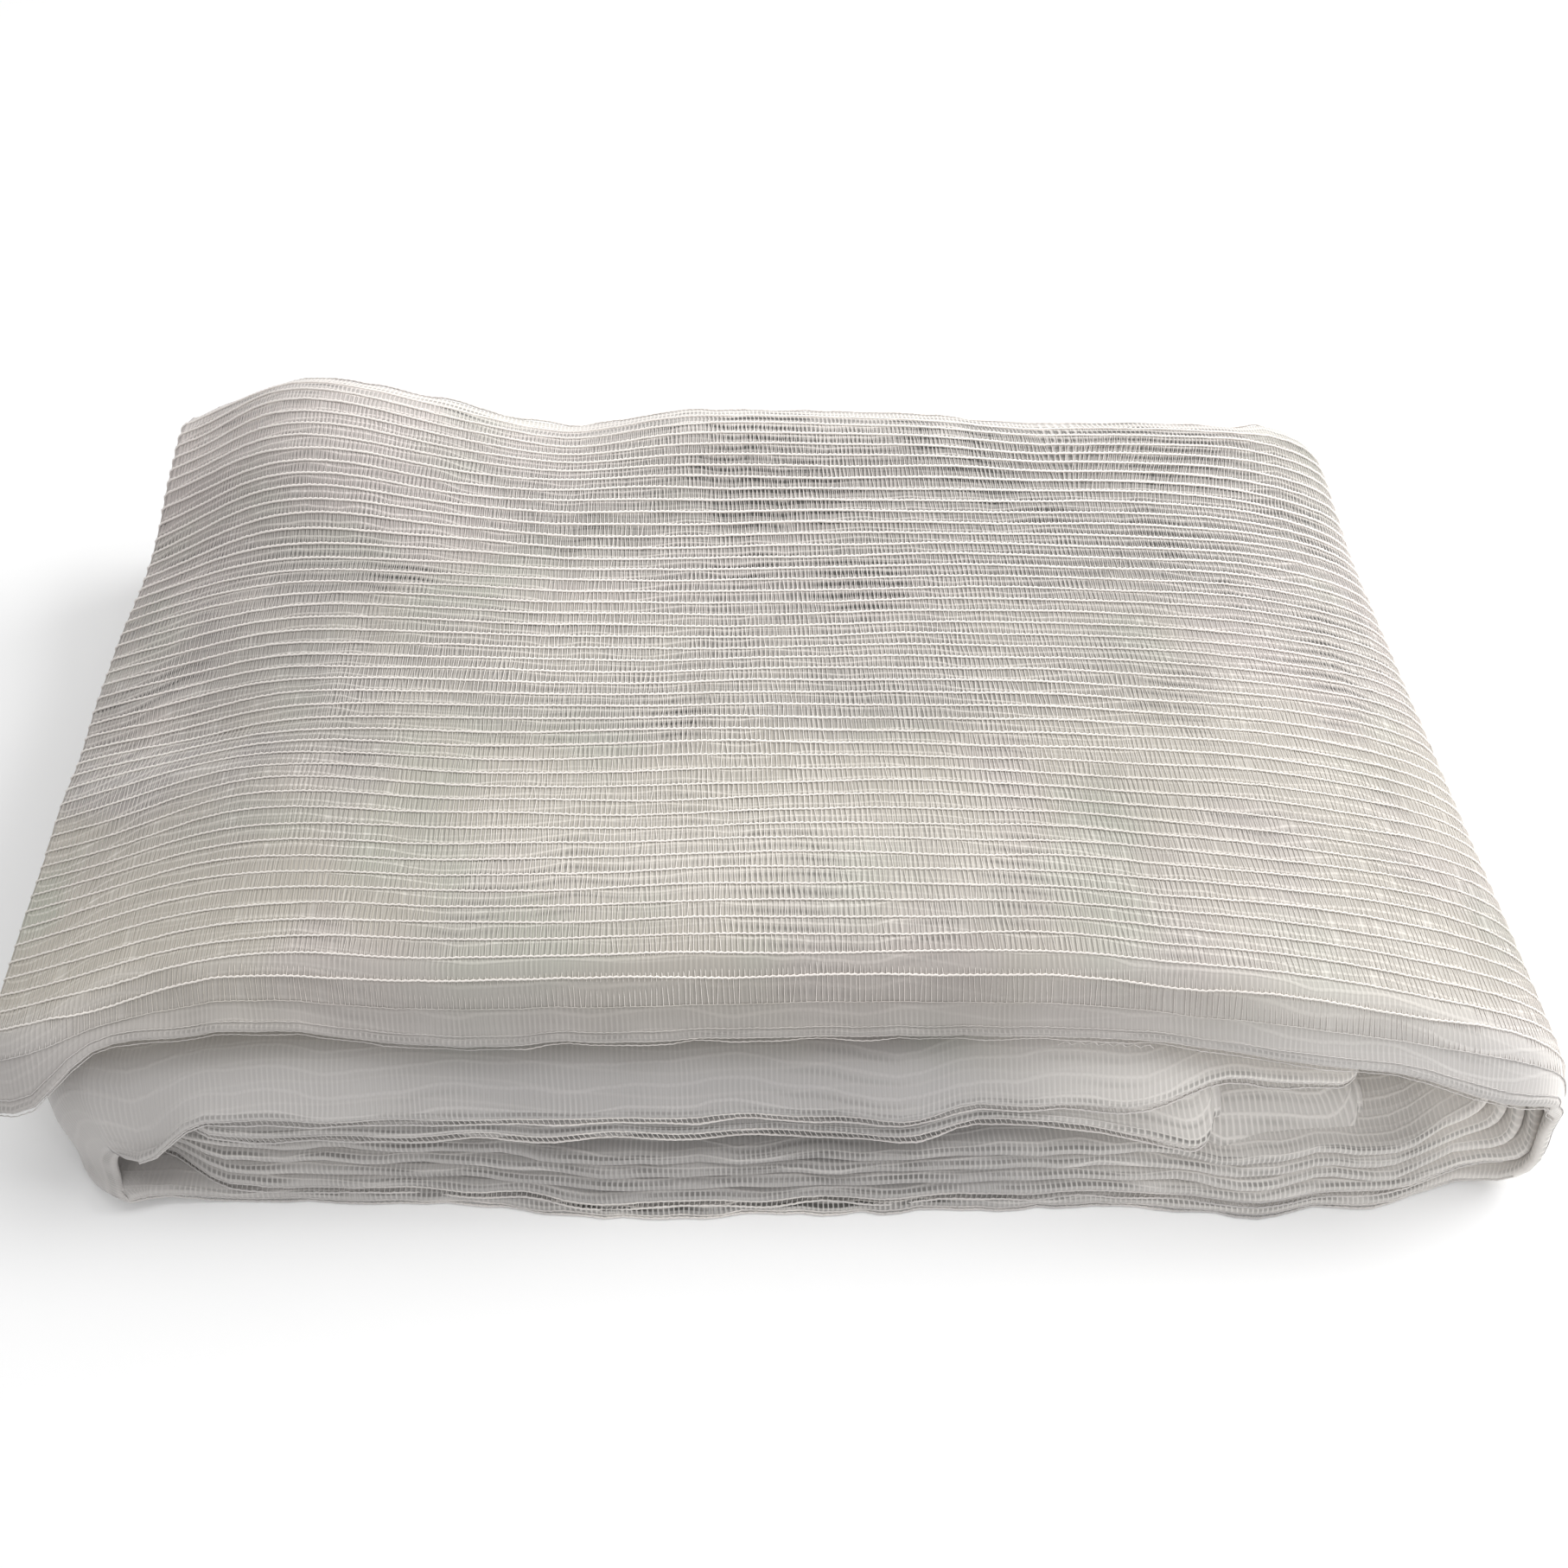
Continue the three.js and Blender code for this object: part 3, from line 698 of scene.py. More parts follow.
def folded_cloth(thickness):
    """The closed sheet with its own UV map: metres along the strip, and metres across it."""
    stations = folded_section()
    depths, middle, upper, lower, _ = sheet_faces(stations, thickness)
    from_front, from_back = depths - depths[:, :1], depths[:, -1:] - depths
    count, rows = depths.shape
    points = np.concatenate([upper.reshape(-1, 3), lower.reshape(-1, 3)])
    index = np.arange(count * rows).reshape(count, rows)
    other = index + count * rows
    faces = quads((index[:-1, :-1], index[1:, :-1], index[1:, 1:], index[:-1, 1:]))
    faces += quads((other[:-1, :-1], other[:-1, 1:], other[1:, 1:], other[1:, :-1]))
    for side, flip in ((0, False), (rows - 1, True)):
        faces += quads((index[:-1, side], other[:-1, side], other[1:, side], index[1:, side]), flip)
    for end, flip in ((0, True), (count - 1, False)):
        faces += quads((index[end, :-1], other[end, :-1], other[end, 1:], index[end, 1:]), flip)
    cloth = mesh_object("netting_cloth", points, faces)
    along = distances(middle[:, rows // 2])
    share = (depths - depths[:, :1]) / (depths[:, -1:] - depths[:, :1])
    nose = np.maximum(0, 1 - from_front / NOSE_DEPTH) - np.maximum(0, 1 - from_back / NOSE_DEPTH)
    across = share * FLAT_SIZE[0] - NOSE_WRAP * nose
    uv = np.stack([np.broadcast_to(along[:, None], share.shape), across], -1).reshape(-1, 2)
    corners = np.empty(len(cloth.data.loops), int)
    cloth.data.loops.foreach_get("vertex_index", corners)
    layer = cloth.data.uv_layers.new(name="cloth")
    layer.uv.foreach_set("vector", np.tile(uv, (2, 1))[corners].ravel())
    cloth.data.polygons.foreach_set("use_smooth", [True] * len(cloth.data.polygons))
    for name, shade_of in (("openness", openness_of), ("fullness", painted_light_and_shade_of)):
        shade = np.array([shade_of(s, f, b) for s, f, b in zip(stations, from_front, from_back)])
        values = cloth.data.attributes.new(name, "FLOAT", "POINT")
        values.data.foreach_set("value", np.tile(shade.ravel(), 2))
    return cloth


def rib_share(number, count, x):
    """Where a rib lies across the strip, as a share of its width: evenly, but straying a little."""
    even = (number + 0.5) / count
    calm = min(1.0, min(number, count - 1 - number) / CALM_RIBS)
    stray = rippled("slow rib", x, number * SLOW_TURN) + rippled("quick rib", x, number * QUICK_TURN)
    return float(even + calm * stray / (count * RIB_PITCH))


def straightened(edge):
    """An edge averaged over a long way, for the ribs run straighter than the edges."""
    padded = np.pad(np.array(edge), len(STRAIGHTENING) // 2, mode="edge")
    return np.convolve(padded, np.array(STRAIGHTENING) / sum(STRAIGHTENING), mode="valid")


def rib_lines(look, stations):
    """Lines of all the ribs on these stations of the outermost ply, front to back: stations, ribs, x y z."""
    depths, _, _, outer, normal = sheet_faces(stations, look.ply_thickness)
    fronts, backs = straightened([s.front for s in stations]), straightened([s.back for s in stations])
    lines = []
    for station, front, back, deep, face, upright in zip(stations, fronts, backs, depths, outer, -normal):
        x = x_of(station)
        share = np.array([rib_share(number, look.rib_count, x) for number in range(look.rib_count)])
        inside = smooth(np.minimum(share, 1 - share) / RIBS_FOLLOW_EDGE)
        own = station.front + (station.back - station.front) * share
        at = lerp(own, front + (back - front) * share, inside)
        lines.append(points_at(at, deep, face + upright * look.lift))
    return np.array(lines)


def outer_stations():
    """The outermost ply where it shows: the turn, the shoulder, the top and its turn down at the left."""
    shown = [s for s in ply_run(0) if s.part in ("turn", "shoulder", "top")]
    return shown + end_turn("top", 0, TOP_THIRD_ENDS[0], -1)


def left_fold_stations():
    """The outermost ply round the left-hand fold, with a little of its flat stretches."""
    return [s for s in ply_run(0) if s.part == "left" or (s.part in OPENNESS and x_of(s) < RIBS_UNDER_LEFT)]


def threads_between(lines, first, look, draw):
    """Short threads from each rib to the next one, a few of them missing."""
    along = distances(lines[:, lines.shape[1] // 2])
    spaced = np.arange(look.thread_spacing / 2, along[-1], look.thread_spacing)
    threads = []
    for n in range(first, lines.shape[1] - 2):
        ends = [points_at(spaced + draw.normal(0, THREAD_STRAY, len(spaced)), along, lines[:, rib])
                for rib in (n, n + 1)]
        kept = draw.random(len(spaced)) > THREADS_MISSING
        threads += [(a, b) for a, b, keep in zip(*ends, kept) if keep]
    return threads


def edge_row(third, ply, side, reach, drop):
    """Two lines along one edge of a ply: one on the edge, and one hanging just outside it."""
    parts = {"top": ("top", "shoulder"), "middle": ("middle",), "bottom": ("left", "bottom", "turn")}[third]
    seed = 20 * THIRDS.index(third) + ply + (10 if side == "back" else 0)
    edges = []
    for station in (s for s in ply_run(ply) if s.part in parts):
        y = np.array([station.front if side == "front" else station.back])
        x, z = station.at(y)
        if third != "bottom" or float(station.at(np.zeros(1))[1][0]) < EDGE_ROW_TOP:
            edges.append((x, y, z))
    inner, outer = [], []
    for number, (x, y, z) in enumerate(edges):
        out = reach + float(rippled("edge row", float(x[0]), seed=seed))
        taper = 1.0 if third == "top" else min(1.0, min(number, len(edges) - 1 - number) / EDGE_ROW_TAPER)
        outward = (-1 if side == "front" else 1) * out * taper
        inner.append(in_frame(x, y, z)[0])
        outer.append(in_frame(x, y + outward, np.maximum(EDGE_ROW_LOWEST, z - drop * taper))[0])
    return np.array(inner), np.array(outer)


def evenly(line, spacing):
    """Points evenly spaced along a line."""
    along = distances(line)
    return points_at(np.arange(spacing / 2, along[-1], spacing), along, line)


def loose_zigzag():
    """A short loose yarn that zigzags below the front edge of the topmost ply."""
    points = []
    for n, x in enumerate(np.arange(LOOSE_YARN["from"], LOOSE_YARN["to"], LOOSE_YARN["step"])):
        station = flat_station("top", 0, min(x, SHOULDER_FROM))
        y = np.array([station.front])
        z = station.at(y)[1] - LOOSE_YARN["down"]
        depth = LOOSE_YARN["depth"] * (LOOSE_YARN["shallow"] if n % 2 else 1.0)
        points.append(in_frame(np.array([x]), y - LOOSE_YARN["forward"], z - depth)[0])
    return np.array(points)


# Node trees.


class Tree:
    """A node tree that is filled node by node."""

    def __init__(self, tree):
        self.tree = tree

    def feed(self, socket, value):
        """Link a socket to another one, a Value or a node's first output, or set it to a plain value."""
        if isinstance(value, Value):
            value = value.socket
        elif isinstance(value, bpy.types.Node):
            value = value.outputs[0]
        if isinstance(value, bpy.types.NodeSocket):
            self.tree.links.new(value, socket)
        elif value is not None:
            socket.default_value = value

    def node(self, kind, settings=None, **values):
        """A new node with these settings, and its inputs fed by name."""
        node = self.tree.nodes.new(kind)
        for name, value in (settings or {}).items():
            setattr(node, name, value)
        for name, value in values.items():
            self.feed(self.input_of(node, name), value)
        return node

    @staticmethod
    def input_of(node, name):
        """The input of a node with this name, or with this number after at_."""
        if name.startswith("at_"):
            return node.inputs[int(name[3:])]
        wanted = name.replace("_", " ").lower()
        usable = (s for s in node.inputs if s.enabled and not s.is_unavailable)
        return next(s for s in usable if s.name.lower() == wanted)

    def parts_of(self, vector):
        """The three numbers of a vector."""
        return [Value(self, part) for part in self.node("ShaderNodeSeparateXYZ", Vector=vector).outputs]

    def attribute(self, name):
        """A number that the mesh carries at its points."""
        return Value(self, self.node("ShaderNodeAttribute", {"attribute_name": name}).outputs["Fac"])

    def noise(self, vector, scale, detail=2.0):
        """Soft noise from 0 to 1 with this many waves per metre."""
        node = self.node("ShaderNodeTexNoise", Vector=vector, Scale=scale, Detail=detail)
        return Value(self, node.outputs["Fac"])

    def tinted(self, base, *tints):
        """A colour with others mixed over it one by one, each by its share."""
        for share, tint in tints:
            node = self.node("ShaderNodeMix", {"data_type": "RGBA"}, at_0=share)
            for socket, colour in zip(node.inputs[6:8], (base, tint)):
                self.feed(socket, colour if isinstance(colour, bpy.types.NodeSocket) else (*colour, 1))
            base = node.outputs[2]
        return base


class Value:
    """A number socket of a tree, so that sums are written as Python expressions."""

    def __init__(self, tree, socket):
        self.tree, self.socket = tree, socket

    def math(self, operation, *others, swap=False):
        """The result of a sum with this number first, or last if swapped."""
        operands = (self, *others)
        node = self.tree.node("ShaderNodeMath", {"operation": operation})
        for socket, operand in zip(node.inputs, reversed(operands) if swap else operands):
            self.tree.feed(socket, operand)
        return Value(self.tree, node.outputs[0])

    def __add__(self, other):
        return self.math("ADD", other)

    def __mul__(self, other):
        return self.math("MULTIPLY", other)

    def __sub__(self, other):
        return self.math("SUBTRACT", other)

    def __rsub__(self, other):
        return self.math("SUBTRACT", other, swap=True)

    def __truediv__(self, other):
        return self.math("DIVIDE", other)

    def clamped(self):
        """The number, kept from 0 to 1."""
        return Value(self.tree, self.tree.node("ShaderNodeClamp", Value=self).outputs[0])

    def smooth_between(self, low, high):
        """0 below low, 1 above high, smooth between them."""
        settings = {"interpolation_type": "SMOOTHSTEP"}
        node = self.tree.node("ShaderNodeMapRange", settings, Value=self, From_Min=low, From_Max=high)
        return Value(self.tree, node.outputs["Result"])

    def peaks(self, half_width, soft):
        """Lines of that half width at every whole number, with soft flanks."""
        away = (self.math("FRACT") - 0.5).math("ABSOLUTE")
        return away.smooth_between(0.5 - half_width - soft, 0.5 - half_width + soft)


def geometry_tree(name, inputs):
    """A Geometry Nodes tree with a geometry input and these named inputs."""
    tree = bpy.data.node_groups.new(name, "GeometryNodeTree")
    tree.interface.new_socket("Geometry", in_out="INPUT", socket_type="NodeSocketGeometry")
    for label, kind, default in inputs:
        socket = tree.interface.new_socket(label, in_out="INPUT", socket_type="NodeSocket" + kind)
        if default is not None:
            socket.default_value = default
    tree.interface.new_socket("Geometry", in_out="OUTPUT", socket_type="NodeSocketGeometry")
    made = Tree(tree)
    return made, made.node("NodeGroupInput").outputs, made.node("NodeGroupOutput")


def yarn_tree():
    """Lays a knitted yarn along every line: a thin tube with beads, a zigzag and a little unevenness."""
    tree, given, result = geometry_tree("yarn", [
        ("Stitch", "Float", 0.0012), ("Radius", "Float", 0.0006), ("Sides", "Int", 4), ("Bead", "Float", 0.15),
        ("Zigzag", "Float", 0.0002), ("Unevenness", "Float", 0.0002), ("Seed", "Float", 1.0),
        ("Material", "Material", None),
    ])
    line = tree.node("GeometryNodeMeshToCurve", Mesh=given["Geometry"])
    line = tree.node("GeometryNodeResampleCurve", {"mode": "LENGTH"}, Curve=line, Length=given["Stitch"])
    index = Value(tree, tree.node("GeometryNodeInputIndex").outputs[0])
    side = index.math("FLOORED_MODULO", 2.0).math("MULTIPLY_ADD", 2.0, -1.0)
    sway = tree.node("ShaderNodeCombineXYZ", Y=side * given["Zigzag"])
    place = tree.node("GeometryNodeInputPosition")
    rough = tree.node("ShaderNodeTexNoise", {"noise_dimensions": "4D"},
                      Vector=place, W=given["Seed"], Scale=160.0, Detail=1.0)
    centred = tree.node("ShaderNodeVectorMath", {"operation": "SUBTRACT"},
                        at_0=rough.outputs["Color"], at_1=(0.5, 0.5, 0.5))
    stray = tree.node("ShaderNodeVectorMath", {"operation": "SCALE"}, at_0=centred, Scale=given["Unevenness"])
    shift = tree.node("ShaderNodeVectorMath", {"operation": "ADD"}, at_0=sway, at_1=stray)
    line = tree.node("GeometryNodeSetPosition", Geometry=line, Offset=shift)
    ring = tree.node("GeometryNodeCurvePrimitiveCircle", Resolution=given["Sides"], Radius=given["Radius"])
    bead = side.math("MULTIPLY_ADD", given["Bead"], 1.0)
    line = tree.node("GeometryNodeSetCurveRadius", Curve=line, Radius=bead)
    width = tree.node("GeometryNodeInputRadius")
    tube = tree.node("GeometryNodeCurveToMesh", Curve=line, Profile_Curve=ring, Scale=width, Fill_Caps=True)
    tube = tree.node("GeometryNodeSetShadeSmooth", Geometry=tube)
    tube = tree.node("GeometryNodeRealizeInstances", Geometry=tube)
    tube = tree.node("GeometryNodeSetMaterial", Geometry=tube, Material=given["Material"])
    tree.feed(result.inputs[0], tube)
    return tree.tree


def yarn_piece(name, lines, material, radius, knit):
    """A plain mesh of yarn laid along these lines, which are lists of points in metres."""
    points, edges = [], []
    for line in lines:
        start = len(points)
        points += [(x, y, max(z, radius * FLOOR_CLEARANCE)) for x, y, z in line]
        edges += [(start + i, start + i + 1) for i in range(len(line) - 1)]
    guide = mesh_object(name + "_lines", points, (), edges)
    tree = bpy.data.node_groups.get("yarn") or yarn_tree()
    modifier = guide.modifiers.new("yarn", "NODES")
    modifier.node_group = tree
    identifiers = {item.name: item.identifier for item in tree.interface.items_tree if item.in_out == "INPUT"}
    for label, value in {"Material": material, "Radius": radius, **knit}.items():
        modifier[identifiers[label]] = value
    evaluated = guide.evaluated_get(bpy.context.evaluated_depsgraph_get())
    mesh = bpy.data.meshes.new_from_object(evaluated)
    guide.modifiers.clear()
    bpy.data.objects.remove(guide)
    mesh.name = name
    if not mesh.materials:
        mesh.materials.append(material)
    piece = bpy.data.objects.new(name, mesh)
    bpy.context.scene.collection.objects.link(piece)
    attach(piece, "root")


# Materials.


def new_material(name, roughness, sheen=0.25):
    """A material with its shader, the tree to fill, and the coordinates of the object."""
    material = bpy.data.materials.new(name)
    material.use_nodes = True
    shader = material.node_tree.nodes["Principled BSDF"]
    for label, value in (("Roughness", roughness), ("Specular IOR Level", 0.25), ("Sheen Weight", sheen),
                         ("Sheen Roughness", 0.5)):
        shader.inputs[label].default_value = value
    tree = Tree(material.node_tree)
    return material, tree, shader, tree.node("ShaderNodeTexCoord").outputs["Object"]


def finish_shader(tree, shader, colour, height, strength, distance):
    """Give a shader its colour and its fine relief, which is that many metres high."""
    bump = tree.node("ShaderNodeBump", Height=height, Strength=strength, Distance=distance)
    tree.feed(shader.inputs["Normal"], bump)
    tree.feed(shader.inputs["Base Color"], colour)


def patch(x, y, middle, reach):
    """1 in the middle of a place on the pack and 0 outside it, in metres."""
    wide, deep = (x - middle[0]) / reach[0], (y - middle[1]) / reach[1]
    return 1.0 - (wide * wide + deep * deep).smooth_between(0.0, 1.0)


def net_tints(tree, look, coords):
    """The cloth's colour before its knit, with painted shade in the thinner places and painted light in the whiter
    ones; how thin it looks, how far right it is and how far back.
    """
    x, y, _ = tree.parts_of(coords)
    back = (y + (tree.noise(coords, 7.0, 3.0) - 0.5) * 0.25).smooth_between(0.0, 0.1)
    uneven = tree.noise(coords, 28.0).smooth_between(0.25, 0.7) * 0.6 + 0.4
    thin = 0.0
    for middle, reach, depth in SHADED_THIN_PLACES:
        thin = patch(x, y, middle, reach) * depth + thin
    thin = (thin * uneven).clamped()
    base = tree.tinted(
        look.net_colour,
        (back, look.warm_colour),
        (tree.noise(coords, 13.0).smooth_between(0.48, 0.66) * 0.75, look.cool_colour),
        (tree.noise(coords, 9.0).smooth_between(0.52, 0.66) * 0.6, look.warm_colour),
        (1.0 - y.smooth_between(-0.165, -0.135), look.lip_colour),
        # Painted shade: greyer in the thinner places and in a dent at the left.
        (thin, look.shade_grey_colour),
        # Painted light: whiter places on the pack where more light falls.
        *((patch(x, y, middle, reach) * depth, look.bright_colour) for middle, reach, depth in LIT_FULL_PLACES),
    )
    return base, thin, x, back


def cloth_material(look):
    """Under layers of the net seen through the top one: faint ribs, fine threads and rows of small holes, with
    painted shade in the holes and between the threads, and whiter or greyer layers from the painted light and
    shade the mesh carries.
    """
    material, tree, shader, coords = new_material("netting_layers", 0.85)
    uv = tree.node("ShaderNodeUVMap", {"uv_map": "cloth"}).outputs[0]
    along, across, _ = tree.parts_of(uv)
    shown, full = tree.attribute("openness"), tree.attribute("fullness")
    tint, thin, x, back = net_tints(tree, look, coords)
    fine = tree.noise(uv, 60.0, 1.0)
    rib, course = across / look.rib_spacing, along / look.thread_spacing
    wavy = rib + tree.noise(uv, 9.0) * 3.0 + fine * 0.3
    under, beside = wavy.peaks(0.07, 0.05), (wavy + 0.34).peaks(0.12, 0.1)
    deeper = (rib * 1.04 + tree.noise(uv, 6.0, 1.0) * 4.0 + 0.4).peaks(0.06, 0.06)
    threads = (course + fine * 0.8).peaks(0.16, 0.14)
    lower_threads = (course * 1.06 + tree.noise(uv, 30.0, 1.0) * 3.0).peaks(0.2, 0.16)
    open_net = (1.0 - threads) * (1.0 - under)
    smoother = (x.smooth_between(-0.27, -0.12) * 0.7 + back * 0.4 + 0.3).clamped()
    holey = tree.noise(coords, 18.0).smooth_between(0.5, 0.66)
    # The holes are painted dark in the hole colour, as painted shade of the deeper layers below; there is more of
    # it where the net looks thin and towards the back.
    holes = open_net * beside * (holey * (thin * 1.1 + 0.45) + thin * 0.3 + 0.06) * shown * smoother * (back + 1.0)
    # Rows of holes near both edges of each ply, painted dark in the same way: painted shade.
    from_edge = (across + NOSE_WRAP).math("MINIMUM", FLAT_SIZE[0] + NOSE_WRAP - across)
    row = from_edge.smooth_between(0.0010, 0.0018) * (1.0 - from_edge.smooth_between(0.0032, 0.0042))
    edge_holes = row * (1.0 - threads) * tree.noise(uv, 26.0).smooth_between(0.35, 0.6) * shown * 0.8
    holes = holes.math("MAXIMUM", edge_holes).clamped()
    colour = tree.tinted(
        tint,
        # Painted light where the light and shade share is above 0, painted shade in grey where it is below 0.
        (full.clamped(), look.bright_colour),
        ((0.0 - full).clamped(), look.shade_grey_colour),
        # Painted shade in the gaps between the threads, darker where the net looks thin and towards the back.
        (open_net * (shown * smoother * (thin * 0.7 + back * 0.18 + 0.34) + 0.05), look.shade_colour),
        (lower_threads * 0.16 * shown, look.bright_colour),
        (holes, look.hole_shade_tone),
        (deeper * 0.14 * shown, look.bright_colour),
        (under * 0.26 * shown * shown, look.bright_colour),
    )
    relief = (under * 0.6 + deeper * 0.3 + threads * 0.35 - holes * 0.8) * (shown * 0.8 + 0.2)
    finish_shader(tree, shader, colour, relief, 0.8, 0.0004)
    return material


def yarn_material(look, name, unshaded_share, sunk, fading=1.0):
    """Bright knitted yarn with a fine twist and small changes of tone, and dark flecks that dim it the more, the
    lower its unshaded share, which on the lip yarns is painted shade; sunk is how far it melts into the net.
    """
    material, tree, shader, coords = new_material(name, 0.6)
    tint, thin, x, back = net_tints(tree, look, coords)
    fuzz = tree.noise(coords, 900.0)
    soft = tree.noise(coords, 12.0).smooth_between(0.4, 0.65) * (0.5 - back * 0.35)
    left, right = 1.0 - x.smooth_between(-0.27, -0.06), x.smooth_between(0.0, 0.26)
    colour = tree.tinted(
        look.bright_colour,
        (tree.noise(coords, 14.0).smooth_between(0.3, 0.7), look.rib_warm_colour),
        (((soft + left - thin * 0.5) * fading + right * 0.2 + sunk).clamped() * 0.92, tint),
        # Dark flecks that dim the yarn; on the lip yarns this is painted shade.
        (fuzz.smooth_between(0.45, 0.8) * (1.0 - unshaded_share), look.shade_colour),
    )
    finish_shader(tree, shader, colour, fuzz, 0.5, 0.0002)
    return material


def floor_material(colour):
    """A pale matt floor with very slight changes of tone."""
    material, tree, shader, coords = new_material("pale_floor", 0.9, sheen=0.0)
    darker = [part * 0.985 for part in colour]
    tree.feed(shader.inputs["Base Color"], tree.tinted(colour, (tree.noise(coords, 3.0), darker)))
    return material


# Settings, operators and panel.


def length_setting(name, description, default):
    """A length in metres that a user can change."""
    return bpy.props.FloatProperty(name=name, description=description, default=default, unit="LENGTH")


def colour_setting(name, description, *default):
    """A colour that a user can change."""
    return bpy.props.FloatVectorProperty(
        name=name, description=description, subtype="COLOR", size=3, default=default, min=0, max=1)


def power_setting(name, description, default):
    """The power of a light in watts, which a user can change."""
    return bpy.props.FloatProperty(name=name, description=description, default=default, unit="POWER")


class NettingSettings(bpy.types.PropertyGroup):
    """Sizes and colours of the netting."""

    ply_thickness: length_setting("Ply thickness", "Thickness of one folded ply of net", 0.003)
    rib_count: bpy.props.IntProperty(
        name="Ribs", description="Number of raised ribs from the front edge to the back edge", default=48)
    lip_ribs: bpy.props.IntProperty(
        name="Lip ribs", description="Number of fainter ribs on the lip that bends down at the front", default=2)
    rib_spacing: length_setting("Rib spacing", "Distance from one raised rib to the next", 0.0072)
    rib_radius: length_setting("Rib radius", "Half the thickness of a raised rib", 0.00053)
    thread_spacing: length_setting("Thread spacing", "Distance from one cross thread to the next", 0.0021)
    thread_radius: length_setting("Thread radius", "Half the thickness of a cross thread", 0.00017)
    cord_radius: length_setting("Edge yarn radius", "Half the thickness of the yarns along the edges", 0.00045)
    lift: length_setting("Lift of the net", "Height of the ribs' middles over the face of the cloth", 0.0003)
    net_colour: colour_setting("Net", "Main colour of the layers of net", 0.484, 0.452, 0.396)
    warm_colour: colour_setting("Back", "Warmer colour of the net towards the back", 0.497, 0.444, 0.43)
    lip_colour: colour_setting("Front", "Greyer colour of the net at the front edges", 0.462, 0.445, 0.438)
    cool_colour: colour_setting("Cool places", "Colour of the cooler places", 0.44, 0.452, 0.385)
    # Painted shade: the grey of the thinner places and of the lips.
    shade_grey_colour: colour_setting("Thin places", "Colour where fewer layers lie below", 0.362, 0.336, 0.32)
    # Painted shade of the gaps between the threads.
    shade_colour: colour_setting("Between threads", "Colour between the threads", 0.215, 0.205, 0.19)
    # Painted shade: the dark of the deeper layers seen through the holes.
    hole_shade_tone: colour_setting("Holes", "Colour of the small holes", 0.075, 0.072, 0.066)
    # The yarn's own colour, also mixed over the net as painted light.
    bright_colour: colour_setting("Yarn", "Colour of the yarn where it stands proud", 0.955, 0.912, 0.86)
    rib_warm_colour: colour_setting("Warm yarn", "Warmer tone of the yarn", 0.955, 0.895, 0.85)


class StageSettings(bpy.types.PropertyGroup):
    """Floor, lights and camera."""

    floor_colour: colour_setting("Floor", "Colour of the floor", 0.93, 0.93, 0.93)
    sky_strength: bpy.props.FloatProperty(
        name="Soft light", description="Strength of the light from all round", default=0.6)
    key_power: power_setting("Key light", "Power of the light from the back right", 41.0)
    overhead_power: power_setting("Overhead light", "Power of the wide light over the back", 12.5)
    fill_power: power_setting("Fill light", "Power of the light from the front right", 10.0)
    lens: bpy.props.FloatProperty(
        name="Lens", description="Focal length of the camera in millimetres", default=30.56)
    tilt: bpy.props.FloatProperty(
        name="Tilt", description="Angle of the camera from straight down", default=math.radians(35.6),
        unit="ROTATION")


class NETTING_OT_ribs(bpy.types.Operator):
    """Lay the raised ribs over the top and round both folds"""

    bl_idname = "netting.ribs"
    bl_label = "Ribs"

    def execute(self, context):
        look = context.scene.netting
        yarn = yarn_material(look, "rib_yarn", 0.92, 0.05, 0.35)
        lines = rib_lines(look, outer_stations())
        count, lip = lines.shape[1], look.lip_ribs
        third = (count - lip) // 3
        ends = (lip, lip + third, lip + 2 * third, count - 1)
        for (name, size), first, last in zip(RIB_GROUPS, ends, ends[1:]):
            yarn_piece(name, [lines[:, n] for n in range(first, last)], yarn, look.rib_radius * size, RIB_YARN)
        around = rib_lines(look, left_fold_stations())
        left = [around[:, n] for n in range(LEFT_RIBS_FROM, count - 1)]
        yarn_piece("ribs_left", left, yarn, look.rib_radius, LEFT_YARN)
        # The lip's ribs are dimmed and melted into the net as painted shade, for the lip faces away from the key
        # light.
        lip_yarn = yarn_material(look, "lip_yarn", 0.8, 0.8)
        yarn_piece("ribs_lip", [lines[:, n] for n in range(lip)], lip_yarn, look.rib_radius * LIP_SIZE, LIP_YARN)
        return {"FINISHED"}


class NETTING_OT_cross_threads(bpy.types.Operator):
    """Lay the fine cross threads from rib to rib"""

    bl_idname = "netting.cross_threads"
    bl_label = "Cross threads"

    def execute(self, context):
        look = context.scene.netting
        yarn = yarn_material(look, "thread_yarn", 0.75, 0.12)
        draw = np.random.default_rng(THREAD_SEED)
        threads = threads_between(rib_lines(look, outer_stations()), look.lip_ribs - 1, look, draw)
        threads += threads_between(rib_lines(look, left_fold_stations()), LEFT_RIBS_FROM, look, draw)
        yarn_piece("cross_threads", threads, yarn, look.thread_radius, THREAD)
        return {"FINISHED"}


